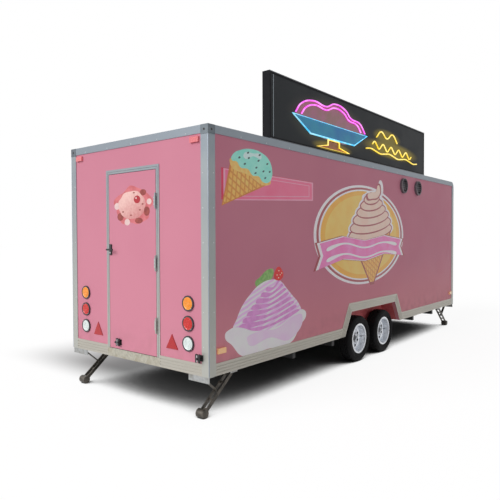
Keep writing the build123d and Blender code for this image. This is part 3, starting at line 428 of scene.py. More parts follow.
def studio_floor():
    """White floor: the camera sees a soft dark shadow on it; as a light source it is grey."""
    alone()
    bpy.ops.mesh.primitive_grid_add(x_subdivisions=2, y_subdivisions=2, size=FLOOR_SIZE,
                                    location=(0, 0, -0.001))
    floor = held("studio_floor")
    tree = Tree(bpy.data.materials.new("studio floor"))
    tree.nodes.clear()
    openness = tree.node("AmbientOcclusion", {"samples": 24}, {"Distance": SHADOW_REACH}, "AO")
    shade = tree.node("MapRange", None, {"Value": openness, "From Min": SHADOW_DARK,
                                         "From Max": SHADOW_CLEAR})
    white = tree.node("Emission", None, {"Color": shade * side_light(tree)})
    lit, matt = [tree.node("BsdfDiffuse", None, {"Color": grey(level)})
                 for level in (FLOOR_WHITE, FLOOR_BOUNCE)]
    tree.surface("Material", tree.blend(tree.seen(), matt, tree.blend(0.9, lit, white)))
    floor.data.materials.append(tree.owner)


def studio_light():
    """Soft white surround and one broad lamp from behind the door end's left corner."""
    scene = bpy.context.scene
    scene.world = bpy.data.worlds.new("studio")
    tree = Tree(scene.world)
    tree.nodes.clear()
    grounds = [tree.node("Background", None, {"Color": grey(1.0), "Strength": strength})
               for strength in (SKY_STRENGTH, 1.0)]
    tree.surface("World", tree.blend(tree.seen(), *grounds))
    bpy.ops.object.light_add(type="SUN", location=(-8, 6, 9))
    key = bpy.context.object
    key.name = "key_light"
    key.data.energy = KEY_STRENGTH
    key.data.angle = radians(40)
    key.rotation_euler = KEY_FROM.to_track_quat("Z", "Y").to_euler()


# Camera: fitted to the body's corners and the ground contacts, for the photo's square frame
FOCAL_PIXELS = 521.6
FRAME_PIXELS = 500.0
SENSOR_MM = 36.0
REAR_CORNER = Vector((POST_LOW.x, POST_LOW.y, 0.0))
CAMERA_FROM_CORNER = Vector((-3.108, -2.974, FLOOR_Z + 1.164))
CAMERA_YAW = radians(39.19)
CAMERA_PITCH = radians(-1.38)
CAMERA_ROLL = radians(-0.21)


def camera():
    data = bpy.data.cameras.new("photo_view")
    data.sensor_width = SENSOR_MM
    data.lens = FOCAL_PIXELS / FRAME_PIXELS * SENSOR_MM
    data.clip_end = 400.0
    view = bpy.data.objects.new("photo_view", data)
    bpy.context.scene.collection.objects.link(view)
    ahead = Vector((cos(CAMERA_YAW) * cos(CAMERA_PITCH), sin(CAMERA_YAW) * cos(CAMERA_PITCH),
                    sin(CAMERA_PITCH)))
    right = Vector((sin(CAMERA_YAW), -cos(CAMERA_YAW), 0.0))
    up = right.cross(ahead)
    tilted_right = right * cos(CAMERA_ROLL) + up * sin(CAMERA_ROLL)
    tilted_up = up * cos(CAMERA_ROLL) - right * sin(CAMERA_ROLL)
    turn = Matrix((tilted_right, tilted_up, -ahead)).transposed().to_4x4()
    view.matrix_world = Matrix.Translation(REAR_CORNER + CAMERA_FROM_CORNER) @ turn
    bpy.context.scene.camera = view


# Modelling

def alone(*pieces):
    """Selects these pieces and nothing else; the first is the active one."""
    bpy.ops.object.select_all(action="DESELECT")
    for piece in reversed(pieces):
        piece.select_set(True)
        bpy.context.view_layer.objects.active = piece


def held(name):
    """The active object, under its own name."""
    piece = bpy.context.object
    piece.name = name
    piece.data.name = name
    return piece


def apply_place():
    bpy.ops.object.transform_apply(location=True, rotation=True, scale=True)


def mode(name):
    bpy.ops.object.mode_set(mode=name)


def close_up():
    """Merges doubled points and turns every face outwards."""
    bpy.ops.mesh.select_all(action="SELECT")
    bpy.ops.mesh.remove_doubles(threshold=0.00002)
    bpy.ops.mesh.normals_make_consistent(inside=False)


STEEL = "brushed stainless steel"
BLACK = "moulded black plastic"


def finish(piece, paint, smooth=None, body="trailer"):
    """Puts a piece's place into its mesh, and gives it its finish and its body."""
    alone(piece)
    apply_place()
    if smooth:
        bpy.ops.object.shade_smooth_by_angle(angle=radians(smooth))
    piece.data.materials.clear()
    piece.data.materials.append(Paint.made[paint])
    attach(piece, body)
    return piece


def bar(name, low, high, bevel):
    """A box between two corners, with its edges rounded."""
    alone()
    middle = [(a + b) / 2 for a, b in zip(low, high)]
    bpy.ops.mesh.primitive_cube_add(size=1.0, location=middle, scale=[b - a for a, b in zip(low, high)])
    piece = held(name)
    apply_place()
    modifier = piece.modifiers.new("bevel", "BEVEL")
    modifier.width = bevel
    modifier.segments = 2
    bpy.ops.object.modifier_apply(modifier=modifier.name)
    return piece


def turned(name, profile, sides, ring=False):
    """Extrudes a circle up Z through (radius, height) steps; a ring closes on its first step."""
    alone()
    radius, height = profile[0]
    bpy.ops.mesh.primitive_circle_add(vertices=sides, radius=radius, location=(0, 0, height),
                                      fill_type="NOTHING" if ring else "NGON")
    piece = held(name)
    mode("EDIT")
    bpy.ops.mesh.select_all(action="SELECT")
    for next_radius, next_height in (profile[1:] + profile[:1] if ring else profile[1:]):
        bpy.ops.mesh.extrude_region_move(TRANSFORM_OT_translate={"value": (0, 0, next_height - height)})
        bpy.ops.transform.resize(value=(next_radius / radius, next_radius / radius, 1),
                                 center_override=(0, 0, next_height))
        radius, height = next_radius, next_height
    close_up()
    mode("OBJECT")
    apply_place()
    return piece


def copied(piece, name, place):
    """A copy with its own mesh, moved there by a matrix."""
    copy = bpy.data.objects.new(name, piece.data.copy())
    copy.data.name = name
    bpy.context.scene.collection.objects.link(copy)
    copy.data.transform(place)
    return copy


def joined(name, pieces):
    """Several meshes made one piece."""
    alone(*pieces)
    if len(pieces) > 1:
        bpy.ops.object.join()
    return held(name)


def dropped(*patterns):
    for pattern in patterns:
        bpy.data.objects.remove(pattern)


def scattered(name, piece, places):
    """Copies a piece to every place, makes them one and drops the pattern piece."""
    copies = [copied(piece, name + "_part", place) for place in places]
    dropped(piece)
    return joined(name, copies)


def studs(name, profile, sides, places, paint, smooth, body="trailer"):
    """The same small turned piece in every place."""
    finish(scattered(name, turned(name + "_pattern", profile, sides), places), paint, smooth, body)


def bars(name, boxes, bevel, paint, slot, smooth=40, body="trailer"):
    """Boxes with rounded edges, made one piece."""
    finish(joined(name, [bar(name, low, high, bevel) for low, high in boxes]), paint, smooth, body)


def frame_of(across, up, origin=(0, 0, 0)):
    """Drawing surface: X goes across, Y up, Z out."""
    across, up = Vector(across), Vector(up)
    turn = Matrix((across, up, across.cross(up))).transposed().to_4x4()
    return Matrix.Translation(origin) @ turn


def along(start, direction):
    """A place whose Z points in a direction."""
    return Matrix.Translation(start) @ Vector(direction).to_track_quat("Z", "Y").to_matrix().to_4x4()


def ring(radius, count, height=0.0, start=0.0):
    """Even places on a circle about Z, the first a share of a step on."""
    turns = [2 * pi * (index + start) / count for index in range(count)]
    return [Matrix.Translation((radius * cos(turn), radius * sin(turn), height)) for turn in turns]


def middle_of(name):
    low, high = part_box(name)
    return (low + high) / 2


REARWARDS = (-1, 0, 0)
REAR_SIDE = frame_of((0, -1, 0), (0, 0, 1))
LEFT_SIDE = frame_of((-1, 0, 0), (0, 0, 1))
RIGHT_SIDE = frame_of((1, 0, 0), (0, 0, 1), (0, RIGHT_Y, PRINT_BASE))
DOOR_SIDE = frame_of((0, -1, 0), (0, 0, 1), (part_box("door_leaf")[0].x, 0, PRINT_BASE))
SIGN_SIDE = frame_of((1, 0, 0), (0, 0, 1), (0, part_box("sign_face")[0].y, PRINT_BASE))


def curve_piece(name, outlines, surface, lift, flat=0.0, radius=0.0, closed=True, corners=False):
    """A flat cut-out of a given thickness, or a round stroke, drawn on a surface."""
    curve = bpy.data.curves.new(name, "CURVE")
    curve.dimensions = "2D" if flat else "3D"
    curve.resolution_u = 8
    if flat:
        curve.fill_mode = "BOTH"
        curve.extrude = flat / 2
    else:
        curve.bevel_depth = radius
        curve.bevel_resolution = 3
        curve.use_fill_caps = True
    for outline in outlines:
        spline = curve.splines.new("BEZIER")
        spline.bezier_points.add(len(outline) - 1)
        for point, (u, v) in zip(spline.bezier_points, outline):
            point.co = (u, v, 0)
            point.handle_left_type = point.handle_right_type = "VECTOR" if corners else "AUTO"
        spline.use_cyclic_u = closed
        spline.use_smooth = not flat
    piece = bpy.data.objects.new(name, curve)
    bpy.context.scene.collection.objects.link(piece)
    alone(piece)
    bpy.ops.object.convert(target="MESH")
    piece = held(name)
    mode("EDIT")
    close_up()
    mode("OBJECT")
    piece.matrix_world = surface @ Matrix.Translation((0, 0, lift + flat / 2))
    return piece


# Wheels

# Profiles are (radius, height out along the axle) from the wheel's middle
TYRE_PROFILE = [(0.1683, 0.0617), (0.1835, 0.0617), (0.190, 0.071), (0.204, 0.0775), (0.206, 0.0795),
                (0.2085, 0.0795), (0.2105, 0.0785), (0.222, 0.0823), (0.243, 0.0812), (0.2455, 0.0822),
                (0.248, 0.0812), (0.258, 0.0768), (0.269, 0.0695), (0.2765, 0.0590), (0.2788, 0.0500),
                (0.2792, 0.0390), (0.2722, 0.0380), (0.2722, 0.0310), (0.2798, 0.0300), (0.2799, 0.0150),
                (0.2725, 0.0140), (0.2725, 0.0075), (0.2799, 0.0065)]
TYRE_SIDES = 112
TREAD_RIBS = ((0.0395, 0.062), (0.0155, 0.0295))     # across-wheel bounds of the notched ribs
TREAD_RADIUS = 0.2755                                # faces beyond it are tread
NOTCH_DEPTH = 0.0045
NOTCH_PITCH = 4
NUT_RING, NUT_COUNT = 0.057, 5
HOLE_RING, HOLE_COUNT = 0.112, 8
VALVE_RING = 0.140
FACE = -0.014                # outer face of the disc beyond the wheel's middle
DISH_PROFILE = [(0.128, FACE), (0.133, FACE + 0.006), (0.147, FACE + 0.009), (0.156, FACE + 0.004),
                (0.1615, FACE - 0.002), (0.150, FACE - 0.003)]
BOSS_PROFILE = [(0.040, FACE - 0.001), (0.044, FACE + 0.008), (0.070, FACE + 0.010),
                (0.082, FACE + 0.004), (0.086, FACE - 0.001)]
CAP_PROFILE = [(0.0335, FACE + 0.001), (0.0355, FACE + 0.008), (0.0345, FACE + 0.018),
               (0.028, FACE + 0.0225), (0.010, FACE + 0.0235)]
NUT_PROFILE = [(0.0125, 0.0), (0.0125, 0.009), (0.0105, 0.0125), (0.009, 0.014), (0.006, 0.0185)]
HOLE_PROFILE = [(0.0178, FACE - 0.006), (0.0178, FACE + 0.0008), (0.0166, FACE + 0.0012),
                (0.0158, FACE - 0.004), (0.002, FACE - 0.005)]
VALVE_PROFILE = [(0.0045, 0.0), (0.0045, 0.012), (0.0032, 0.013), (0.0032, 0.030), (0.0040, 0.031),
                 (0.0040, 0.038), (0.0020, 0.039)]


def wheel_place(tyre):
    """A tyre's middle, with Z out along its axle."""
    middle = middle_of(tyre)
    return along(middle, (0, 1 if middle.y > 0 else -1, 0))


def tyres():
    """Tyres with grooves and notched ribs."""
    profile = TYRE_PROFILE + [(radius, -height) for radius, height in reversed(TYRE_PROFILE)]
    pattern = turned("tyre_pattern", profile, TYRE_SIDES, ring=True)
    mode("EDIT")
    bpy.ops.mesh.select_all(action="DESELECT")
    mode("OBJECT")
    for face in pattern.data.polygons:
        x, y, z = face.center
        step = int((atan2(y, x) + 2 * pi) / (2 * pi) * TYRE_SIDES)
        side = 0 if z > 0 else 2
        for index, (near, far) in enumerate(TREAD_RIBS):
            notched = (step + 2 * index + side) % NOTCH_PITCH == 0
            if notched and hypot(x, y) > TREAD_RADIUS and near < abs(z) < far:
                face.select = True
    mode("EDIT")
    bpy.ops.mesh.extrude_region_shrink_fatten(TRANSFORM_OT_shrink_fatten={"value": -NOTCH_DEPTH})
    mode("OBJECT")
    for name in [name for name in nodes if name.startswith("tyre_")]:
        piece = copied(pattern, name + "_tread", wheel_place(name))
        finish(piece, "tyre rubber", 32, name.replace("tyre", "wheel"))
        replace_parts(piece, name)
    dropped(pattern)


def wheel_faces():
    """Pressed dish and boss, cap, nuts, holes as shallow cups painted dark as their shade, and valve on
    each steel wheel.
    """
    nut = turned("nut_pattern", NUT_PROFILE, 6)
    hole = turned("hole_pattern", HOLE_PROFILE, 28)
    valve = turned("valve_pattern", VALVE_PROFILE, 16)
    valve.data.transform(Matrix.Translation((VALVE_RING, 0.0, FACE + 0.004)))
    parts = ((turned("dish_pattern", DISH_PROFILE, 72, ring=True), "dish", "silver wheel paint", 40),
             (turned("boss_pattern", BOSS_PROFILE, 60, ring=True), "boss", "silver wheel paint", 40),
             (turned("cap_pattern", CAP_PROFILE, 40), "cap", "dark hub cap", 35),
             (scattered("nut_ring", nut, ring(NUT_RING, NUT_COUNT, FACE + 0.0095)), "nuts",
              "plated wheel nut", 25),
             # painted shade: each hole is a shallow cup in a near black paint
             (scattered("hole_ring", hole, ring(HOLE_RING, HOLE_COUNT, start=0.5)), "holes",
              "shaded wheel hole", 35),
             (valve, "valve", BLACK, 35))
    for name in [name for name in nodes if name.startswith("rim_")]:
        # the tyre's box gives the place, because the rim's isn't even across the wheel
        place = wheel_place(name.replace("rim", "tyre"))
        for pattern, label, paint, angle in parts:
            finish(copied(pattern, f"{name}_{label}", place), paint, angle,
                   name.replace("rim", "wheel"))
    dropped(*[part[0] for part in parts])


# Lamps

LENS_RADIUS = 0.0558
LENS_STAND = 0.0140
LENS_RINGS = (0.046, 0.040, 0.034, 0.028, 0.022, 0.016)
RIM_SCREW_RING = 0.0615
RIM_SCREW_PROFILE = [(0.0034, 0.0), (0.0034, 0.0012), (0.0024, 0.0020), (0.001, 0.0023)]


def lens_pattern():
    """Round lens with raised rings on its face, round Z."""
    crest, groove = LENS_STAND - 0.0006, LENS_STAND - 0.0030
    profile = [(LENS_RADIUS, 0.0), (LENS_RADIUS, 0.0105), (0.0545, 0.0128), (0.0510, 0.0134)]
    for radius in LENS_RINGS:
        profile += [(radius, groove), (radius - 0.001, crest), (radius - 0.0045, crest)]
    profile += [(0.010, groove), (0.002, LENS_STAND - 0.0024)]
    return turned("lens_pattern", profile, 64)


def lamps():
    pattern = lens_pattern()
    rim_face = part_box("lamp_rims")[0].x
    screws = []
    for name, paint, slot in (("white_lamps", "clear lens", "clear_lens"),
                              ("red_lamps", "red lens", "red_lens"),
                              ("amber_lamps", "amber lens", "amber_lens")):
        low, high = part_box(name)
        height = (low.z + high.z) / 2
        reach = high.y - (high.z - low.z) / 2
        spots = [(high.x, side * reach, height) for side in (1, -1)]
        lenses = [copied(pattern, f"{name}_{index}", along(spot, REARWARDS))
                  for index, spot in enumerate(spots)]
        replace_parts(finish(joined(name + "_lenses", lenses), paint, 30), name)
        screws += [along((rim_face, y + RIM_SCREW_RING * cos(turn), z + RIM_SCREW_RING * sin(turn)),
                         REARWARDS) for x, y, z in spots for turn in (0.8, 0.8 + pi)]
    dropped(pattern)
    studs("lamp_rim_screws", RIM_SCREW_PROFILE, 14, screws, STEEL, 30)


# Seals

SEAL_GAP = 0.0046                # clearance round a leaf that its seal fills
SEAL_DEPTH = 0.012
DOOR_FRAME_REACH = 0.026         # the dark line, painted shade of the frame's groove, runs this far outside the door's leaf


def rectangle(u0, v0, u1, v1):
    return [(u0, v0), (u1, v0), (u1, v1), (u0, v1)]


def seal(name, surface, face, left, right, low, high, width):
    """A rubber line inside a rectangle, sunk below a face."""
    outlines = [rectangle(left + edge, low + edge, right - edge, high - edge) for edge in (0.0, width)]
    piece = curve_piece(name, outlines, surface, face - SEAL_DEPTH, flat=SEAL_DEPTH, corners=True)
    finish(piece, "moulded rubber")


def seals():
    low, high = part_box("door_leaf")
    width = SEAL_GAP - 0.0004
    seal("door_gasket", REAR_SIDE, -(low.x + 0.006), -high.y - SEAL_GAP, -low.y + SEAL_GAP,
         low.z - SEAL_GAP, high.z + SEAL_GAP, width)
    # painted shade: a thin dark line stands for the groove in the door's frame
    seal("door_frame_groove_shade", REAR_SIDE, 0.0004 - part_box("door_sill")[0].x, -high.y - DOOR_FRAME_REACH,
         -low.y + DOOR_FRAME_REACH, low.z - SEAL_GAP, high.z + DOOR_FRAME_REACH, 0.0025)
    low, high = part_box("hatch_leaf")
    seal("hatch_gasket", LEFT_SIDE, high.y - 0.006, -high.x - SEAL_GAP, -low.x + SEAL_GAP,
         low.z - SEAL_GAP, high.z + SEAL_GAP, width)


# Fixings

RIVET_PROFILE = [(0.0052, -0.001), (0.0052, 0.0004), (0.0044, 0.0018), (0.0026, 0.0028), (0.0008, 0.0031)]
RIVET_INSET = 0.062              # from a post's edge to its rivets
RIVET_PITCH = 0.37               # along the top rails
CAP_SCREW_PROFILE = [(0.0100, -0.001), (0.0100, 0.0012), (0.0085, 0.0022), (0.0045, 0.0022),
                     (0.0035, 0.0008), (0.0010, 0.0008)]
HINGE_SCREW_PROFILE = [(0.0050, -0.0005), (0.0050, 0.0008), (0.0038, 0.0018), (0.0012, 0.0012)]
HINGE_HALF = 0.045               # half height of a hinge plate
LOCK_PROFILE = [(0.0095, -0.001), (0.0095, 0.003), (0.0085, 0.0045), (0.004, 0.0045), (0.0035, 0.0030),
                (0.001, 0.0030)]
BEAD_STAND = 0.0012
BEAD_WIDTH = 0.007
ROOF_SHEETS = 6
SIGN_BAYS = 8                    # bays between the ribs on the sign's back


def rivet_rows():
    """Dome rivets along the sections' edges."""
    places = []
    top = ROOF_EDGE - 0.055
    for side in (1, -1):
        out = (0, side, 0)
        for height in [0.62 + 0.29 * index for index in range(6)]:
            places += [along((POST_LOW.x, side * (POST_HIGH.y - RIVET_INSET), height), REARWARDS),
                       along((POST_LOW.x + RIVET_INSET, side * POST_HIGH.y, height), out),
                       along((POST_HIGH.x - RIVET_INSET, side * POST_HIGH.y, height), out)]
        places += [along((POST_LOW.x + 0.42 + RIVET_PITCH * step, side * POST_HIGH.y, top), out)
                   for step in range(15)]
    places += [along((POST_LOW.x, -0.74 + RIVET_PITCH * step, top), REARWARDS) for step in range(5)]
    studs("section_rivets", RIVET_PROFILE, 12, places, STEEL, 40)


def corner_beads():
    """Rounded bead down each rear corner, in aluminium painted lighter than the posts' as an edge
    highlight, and the dark screws in the corner castings.
    """
    low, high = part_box("corner_caps")
    beads, dots = [], []
    for side in (1, -1):
        near, far = sorted((side * (POST_HIGH.y + BEAD_STAND), side * (POST_HIGH.y - BEAD_WIDTH)))
        beads.append(((POST_LOW.x - BEAD_STAND, near, POST_LOW.z + 0.002),
                      (POST_LOW.x + BEAD_WIDTH, far, low.z - 0.001)))
        dots += [along((low.x, side * (high.y - 0.045), low.z + 0.040), REARWARDS),
                 along((low.x + 0.045, side * high.y, low.z + 0.040), (0, side, 0))]
    bars("corner_beads", beads, 0.0035, "corner bead", "aluminium_section")
    studs("cap_screws", CAP_SCREW_PROFILE, 20, dots, BLACK, 35)


def door_fittings():
    """Screws on the door's hinge plates, and the lock barrel on its handle's plate."""
    low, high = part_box("door_hinges")
    pitch = (high.z - low.z - 2 * HINGE_HALF) / 2
    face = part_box("door_leaf")[0].x - 0.003
    places = [along((face, high.y - 0.009, low.z + HINGE_HALF + pitch * index + rise), REARWARDS)
              for index in range(3) for rise in (-0.030, 0.0, 0.030)]
    studs("hinge_screws", HINGE_SCREW_PROFILE, 14, places, STEEL, 35, "rear_door")
    low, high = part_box("door_handle")
    place = along((high.x - 0.010, high.y - 0.017, low.z + 0.022), REARWARDS)
    studs("handle_lock", LOCK_PROFILE, 24, [place], STEEL, 30, "rear_door")


def pegs():
    """Two upright pegs and a bright pin on the door's catch and on its keeper."""
    def upright(share, near, far, half, rise):
        y = low.y + (high.y - low.y) * share
        return (low.x + near, y - half, low.z - rise), (low.x + far, y + half, high.z + rise)
    for name, body in (("door_catch", "rear_door"), ("door_keeper", "trailer")):
        low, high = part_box(name)
        bars(name + "_pegs", [upright(share, 0.012, 0.030, 0.009, 0.012) for share in (0.28, 0.78)],
             0.005, BLACK, "black_plastic", body=body)
        bars(name + "_pin", [upright(0.5, 0.006, 0.014, 0.005, 0.004)],
             0.003, STEEL, "stainless", body=body)


def roof_seams():
    """Folded seams between the roof's sheets."""
    low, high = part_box("roof_panel")
    seams = [low.x + (high.x - low.x) / ROOF_SHEETS * index for index in range(1, ROOF_SHEETS)]
    boxes = [((x - 0.012, low.y + 0.01, high.z - 0.002), (x + 0.012, high.y - 0.01, high.z + 0.005))
             for x in seams]
    bars("roof_seams", boxes, 0.002, "white roof sheet", "roof_sheet")


def sign_back():
    """Stiffening ribs and a service cover on the sign's back."""
    low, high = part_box("sign_cabinet")
    back = high.y - 0.001
    pitch = (high.x - low.x) / SIGN_BAYS
    ribs = [((x - 0.015, back, low.z + 0.02), (x + 0.015, high.y + 0.007, high.z - 0.02))
            for x in [low.x + pitch * index for index in range(1, SIGN_BAYS)]]
    edges = [((low.x + 0.01, back, z), (high.x - 0.01, high.y + 0.006, z + 0.022))
             for z in (low.z + 0.01, high.z - 0.032)]
    bars("sign_back_ribs", ribs + edges, 0.002, "black sign sheet", "sign_black")
    middle = (low.x + high.x) / 2 + pitch / 2
    bars("sign_service_cover", [((middle - 0.16, back, low.z + 0.22),
                                 (middle + 0.16, high.y + 0.009, low.z + 0.44))],
         0.003, "sign edge section", "sign_black")


def sign_trim():
    """Bright strip and edge beads round the sign's face."""
    low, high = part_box("sign_cabinet")
    bars("sign_strip", [((low.x + 0.060, low.y + 0.0005, low.z + 0.030),
                         (low.x + 0.068, low.y + 0.0060, high.z - 0.030))],
         0.001, "aluminium section upright", "aluminium_section", 30)
    bars("sign_beads", [((low.x + 0.004, low.y - 0.003, z), (high.x - 0.004, low.y + 0.001, z + 0.006))
                        for z in (low.z + 0.004, high.z - 0.010)],
         0.001, "sign edge section", "sign_black", 30)


# Prints on the panels, each layer a thin film over the one below

FILM = 0.0001
DOOR_END = (POST_LOW.x, 0.0)     # the side's prints count their distances from here


def placed(points, origin, across, up):
    return [(origin[0] + across[0] * s + up[0] * t, origin[1] + across[1] * s + up[1] * t)
            for s, t in points]


def grown(points, middle, factor):
    u, v = middle
    return [(u + (s - u) * factor, v + (t - v) * factor) for s, t in points]


def ellipse(width, height, middle=(0, 0), count=24):
    return [(middle[0] + width * cos(turn), middle[1] + height * sin(turn))
            for turn in [2 * pi * index / count for index in range(count)]]


class Print:
    """Films stacked on a surface, each a little above the last."""

    def __init__(self, name, surface, origin, across=(1, 0), up=(0, 1), layer=0, body="trailer"):
        self.name = name
        self.surface = surface
        self.grid = (origin, across, up)
        self.layer = layer
        self.body = body

    def film(self, label, shapes, ink, corners=False):
        self.layer += 1
        outlines = [placed(shape, *self.grid) for shape in shapes]
        piece = curve_piece(f"{self.name}_{label}", outlines, self.surface, 0.0,
                            flat=self.layer * FILM, corners=corners)
        finish(piece, ink, body=self.body)


def plaque():
    """Bare plaque with a border, on a darker shade."""
    board = Print("plaque", RIGHT_SIDE, DOOR_END)
    outline = [(0.194, 1.832), (1.606, 1.900), (1.606, 2.090), (0.194, 2.104)]
    middle = [sum(point[axis] for point in outline) / 4 for axis in (0, 1)]
    def shrunk(edge):
        return [(s + (edge if s < middle[0] else -edge), t + (edge if t < middle[1] else -edge) * 0.5)
                for s, t in outline]
    for label, points, ink in (("shade", [(s - 0.028, t + 0.004) for s, t in outline], "rose ink"),
                               ("edge", outline, "pale rose ink"),
                               ("face", shrunk(0.022), "vivid pink ink"),
                               ("inset", shrunk(0.070), "pale rose ink"),
                               ("middle", shrunk(0.084), "vivid pink ink")):
        board.film(label, [points], ink, corners=True)


def cone():
    """Wafer cone with a scoop."""
    art = Print("cone", RIGHT_SIDE, (POST_LOW.x + 0.175, 1.79), (0.245, -0.075), (0.380, 0.305), 5)
    art.film("outline", [[(0, -0.02), (1.08, 0.98), (1.04, 1.06), (-1.04, 1.06), (-1.08, 0.98)]],
             "caramel ink", corners=True)
    art.film("wafer", [[(0, 0.03), (1.0, 1.0), (-1.0, 1.0)]], "wafer ink", corners=True)
    art.film("rim", [[(-1.12, 0.98), (0, 0.93), (1.12, 0.98), (1.10, 1.10), (0, 1.06), (-1.10, 1.10)]],
             "light wafer ink")
    art.film("scoop", [[(-1.12, 1.04), (-1.22, 1.16), (-1.12, 1.34), (-0.78, 1.52), (-0.25, 1.60),
                        (0.30, 1.55), (0.75, 1.38), (1.02, 1.18), (1.02, 1.03), (0.75, 0.98),
                        (0.45, 1.04), (0.15, 0.98), (-0.20, 1.05), (-0.55, 0.99), (-0.85, 1.06)]],
             "mint ink")
    art.film("shine", [[(-0.85, 1.30), (-0.55, 1.46), (-0.10, 1.50), (-0.45, 1.40), (-0.72, 1.24)]],
             "pale mint ink")
    art.film("chips", [ellipse(0.045, 0.030, middle, 8) for middle in
                       ((-0.9, 1.18), (-0.55, 1.30), (-0.5, 1.12), (-0.1, 1.38), (0.05, 1.20),
                        (0.35, 1.44), (0.45, 1.22), (0.72, 1.30), (0.75, 1.10), (-0.25, 1.52),
                        (-0.75, 1.40), (0.2, 1.07))], "cocoa ink")


def cup():
    """Tub of piped cream with a leaf and a berry."""
    art = Print("cup", RIGHT_SIDE, DOOR_END, layer=2)
    art.film("leaf", [[(0.62, 1.085), (0.70, 1.150), (0.84, 1.215), (0.90, 1.20), (0.86, 1.11),
                       (0.76, 1.075)]], "leaf ink")
    art.film("swirl", [[(0.31, 0.700), (0.36, 0.800), (0.43, 0.900), (0.55, 1.000), (0.68, 1.075),
                        (0.86, 1.112), (1.02, 1.085), (1.12, 1.010), (1.22, 0.930), (1.34, 0.830),
                        (1.38, 0.740), (1.15, 0.630), (0.60, 0.600)]], "lilac ink")
    ridges = []
    for share in [index / 7 for index in range(8)]:
        left = 0.345 + 0.43 * share ** 1.25
        right = 1.345 - 0.33 * share
        middle = (left + right) / 2
        low = 0.650 + 0.360 * share
        rise = 0.115 - 0.035 * share
        ridges.append([(left, low + 0.012), (middle, low + 0.010 + rise * 0.25),
                       (right, low + rise + 0.006), (right - 0.02, low + rise - 0.010),
                       (middle, low - 0.012 + rise * 0.25), (left + 0.03, low - 0.004)])
    art.film("ridges", ridges, "deep lilac ink")
    art.film("berry", [[(0.91, 1.130), (0.96, 1.098), (1.03, 1.105), (1.065, 1.150), (1.04, 1.195),
                        (0.99, 1.230), (0.93, 1.195)]], "berry ink")
    art.film("seeds", [ellipse(0.008, 0.005, middle, 6) for middle in
                       ((0.96, 1.15), (0.99, 1.19), (1.01, 1.15), (0.985, 1.122), (1.035, 1.165))],
             "cream ink")
    art.film("tub", [[(0.203, 0.676), (0.26, 0.716), (0.37, 0.722), (0.62, 0.655), (0.95, 0.650),
                      (1.28, 0.745), (1.41, 0.768), (1.470, 0.712), (1.36, 0.610), (1.21, 0.4665),
                      (0.80, 0.4590), (0.43, 0.4590), (0.30, 0.570)]], "white tub ink")
    art.film("tub_shade", [[(0.62, 0.640), (0.95, 0.634), (1.28, 0.724), (1.40, 0.700), (1.20, 0.500),
                            (0.86, 0.560), (0.50, 0.590)]], "shaded tub ink")


BADGE_WIDTH, BADGE_HEIGHT = 1.1765, 0.6065
BADGE_CENTRE = 0.16              # the cone stands this far right of the badge's middle
# Tiers of cream, from the lowest: half width, half height and level
BADGE_TIERS = ((0.50, 0.150, 0.06), (0.47, 0.150, 0.21), (0.41, 0.140, 0.36), (0.33, 0.125, 0.50),
               (0.25, 0.110, 0.63), (0.17, 0.095, 0.745))
TIER_SLANT = 0.20


def badge():
    """Generic piped cone in a round frame, with a plain striped ribbon."""
    art = Print("badge", RIGHT_SIDE, (POST_LOW.x + 2.7955, 1.5405), (BADGE_WIDTH, 0), (0, BADGE_HEIGHT), 2)
    for label, size, ink in (("rim", 1.0, "blush"), ("ring", 0.955, "maroon"), ("band", 0.915, "blush"),
                             ("field", 0.885, "orange"), ("glow", 0.800, "pale orange")):
        art.film(label, [ellipse(size, size, count=48)], ink + " ink")
    centre = BADGE_CENTRE
    tip = [(centre - 0.10, 0.80), (centre - 0.02, 0.88), (centre + 0.10, 0.92), (centre + 0.16, 1.06),
           (centre + 0.20, 0.94), (centre + 0.16, 0.82), (centre + 0.04, 0.76)]
    tip_middle = (centre + 0.08, 0.90)
    wafer = [(centre - 0.46, 0.02), (centre + 0.46, 0.08), (centre + 0.05, -0.98), (centre - 0.03, -0.98)]
    def slanted(width, height, level, grow=0.0):
        """A tier of cream, higher to the right."""
        return [(centre + s, level + t + TIER_SLANT * s)
                for s, t in ellipse(width + grow * 0.6, height + grow, count=20)]
    art.film("halo_tip", [grown(tip, tip_middle, 1.7)], "blush ink")
    for index, tier in enumerate(BADGE_TIERS):
        art.film(f"halo_{index}", [slanted(*tier, 0.085)], "blush ink")
    art.film("wafer_line", [grown(wafer, (centre, -0.35), 1.09)], "maroon ink", corners=True)
    art.film("wafer", [wafer], "wafer ink", corners=True)
    for index, (width, height, level) in enumerate(BADGE_TIERS):
        art.film(f"line_{index}", [slanted(width, height, level, 0.030)], "maroon ink")
        art.film(f"tier_{index}", [slanted(width, height, level)], "peach ink")
        art.film(f"light_{index}", [slanted(width * 0.55, height * 0.22, level + height * 0.30)],
                 "blush ink")
    art.film("tip_line", [grown(tip, tip_middle, 1.22)], "maroon ink")
    art.film("tip", [tip], "peach ink")
    ribbon = [(-0.90, -0.16), (-0.45, -0.04), (0.0, -0.12), (0.45, -0.02), (0.92, -0.10), (0.86, -0.26),
              (0.94, -0.46), (0.45, -0.40), (0.0, -0.52), (-0.45, -0.46), (-0.92, -0.62), (-0.84, -0.38)]
    art.film("ribbon_line", [grown(ribbon, (0, -0.30), 1.09)], "maroon ink", corners=True)
    art.film("ribbon_edge", [grown(ribbon, (0, -0.30), 1.055)], "blush ink", corners=True)
    art.film("ribbon", [ribbon], "magenta ink", corners=True)
    stripes = []
    for low in (-0.20, -0.40):
        top = [(s, low + rise) for s, rise in
               ((-0.78, -0.06), (-0.45, 0.05), (0.0, -0.04), (0.45, 0.06), (0.80, 0.01))]
        stripes.append(top + [(s, t - 0.035) for s, t in reversed(top)])
    art.film("ribbon_stripes", stripes, "blush ink")


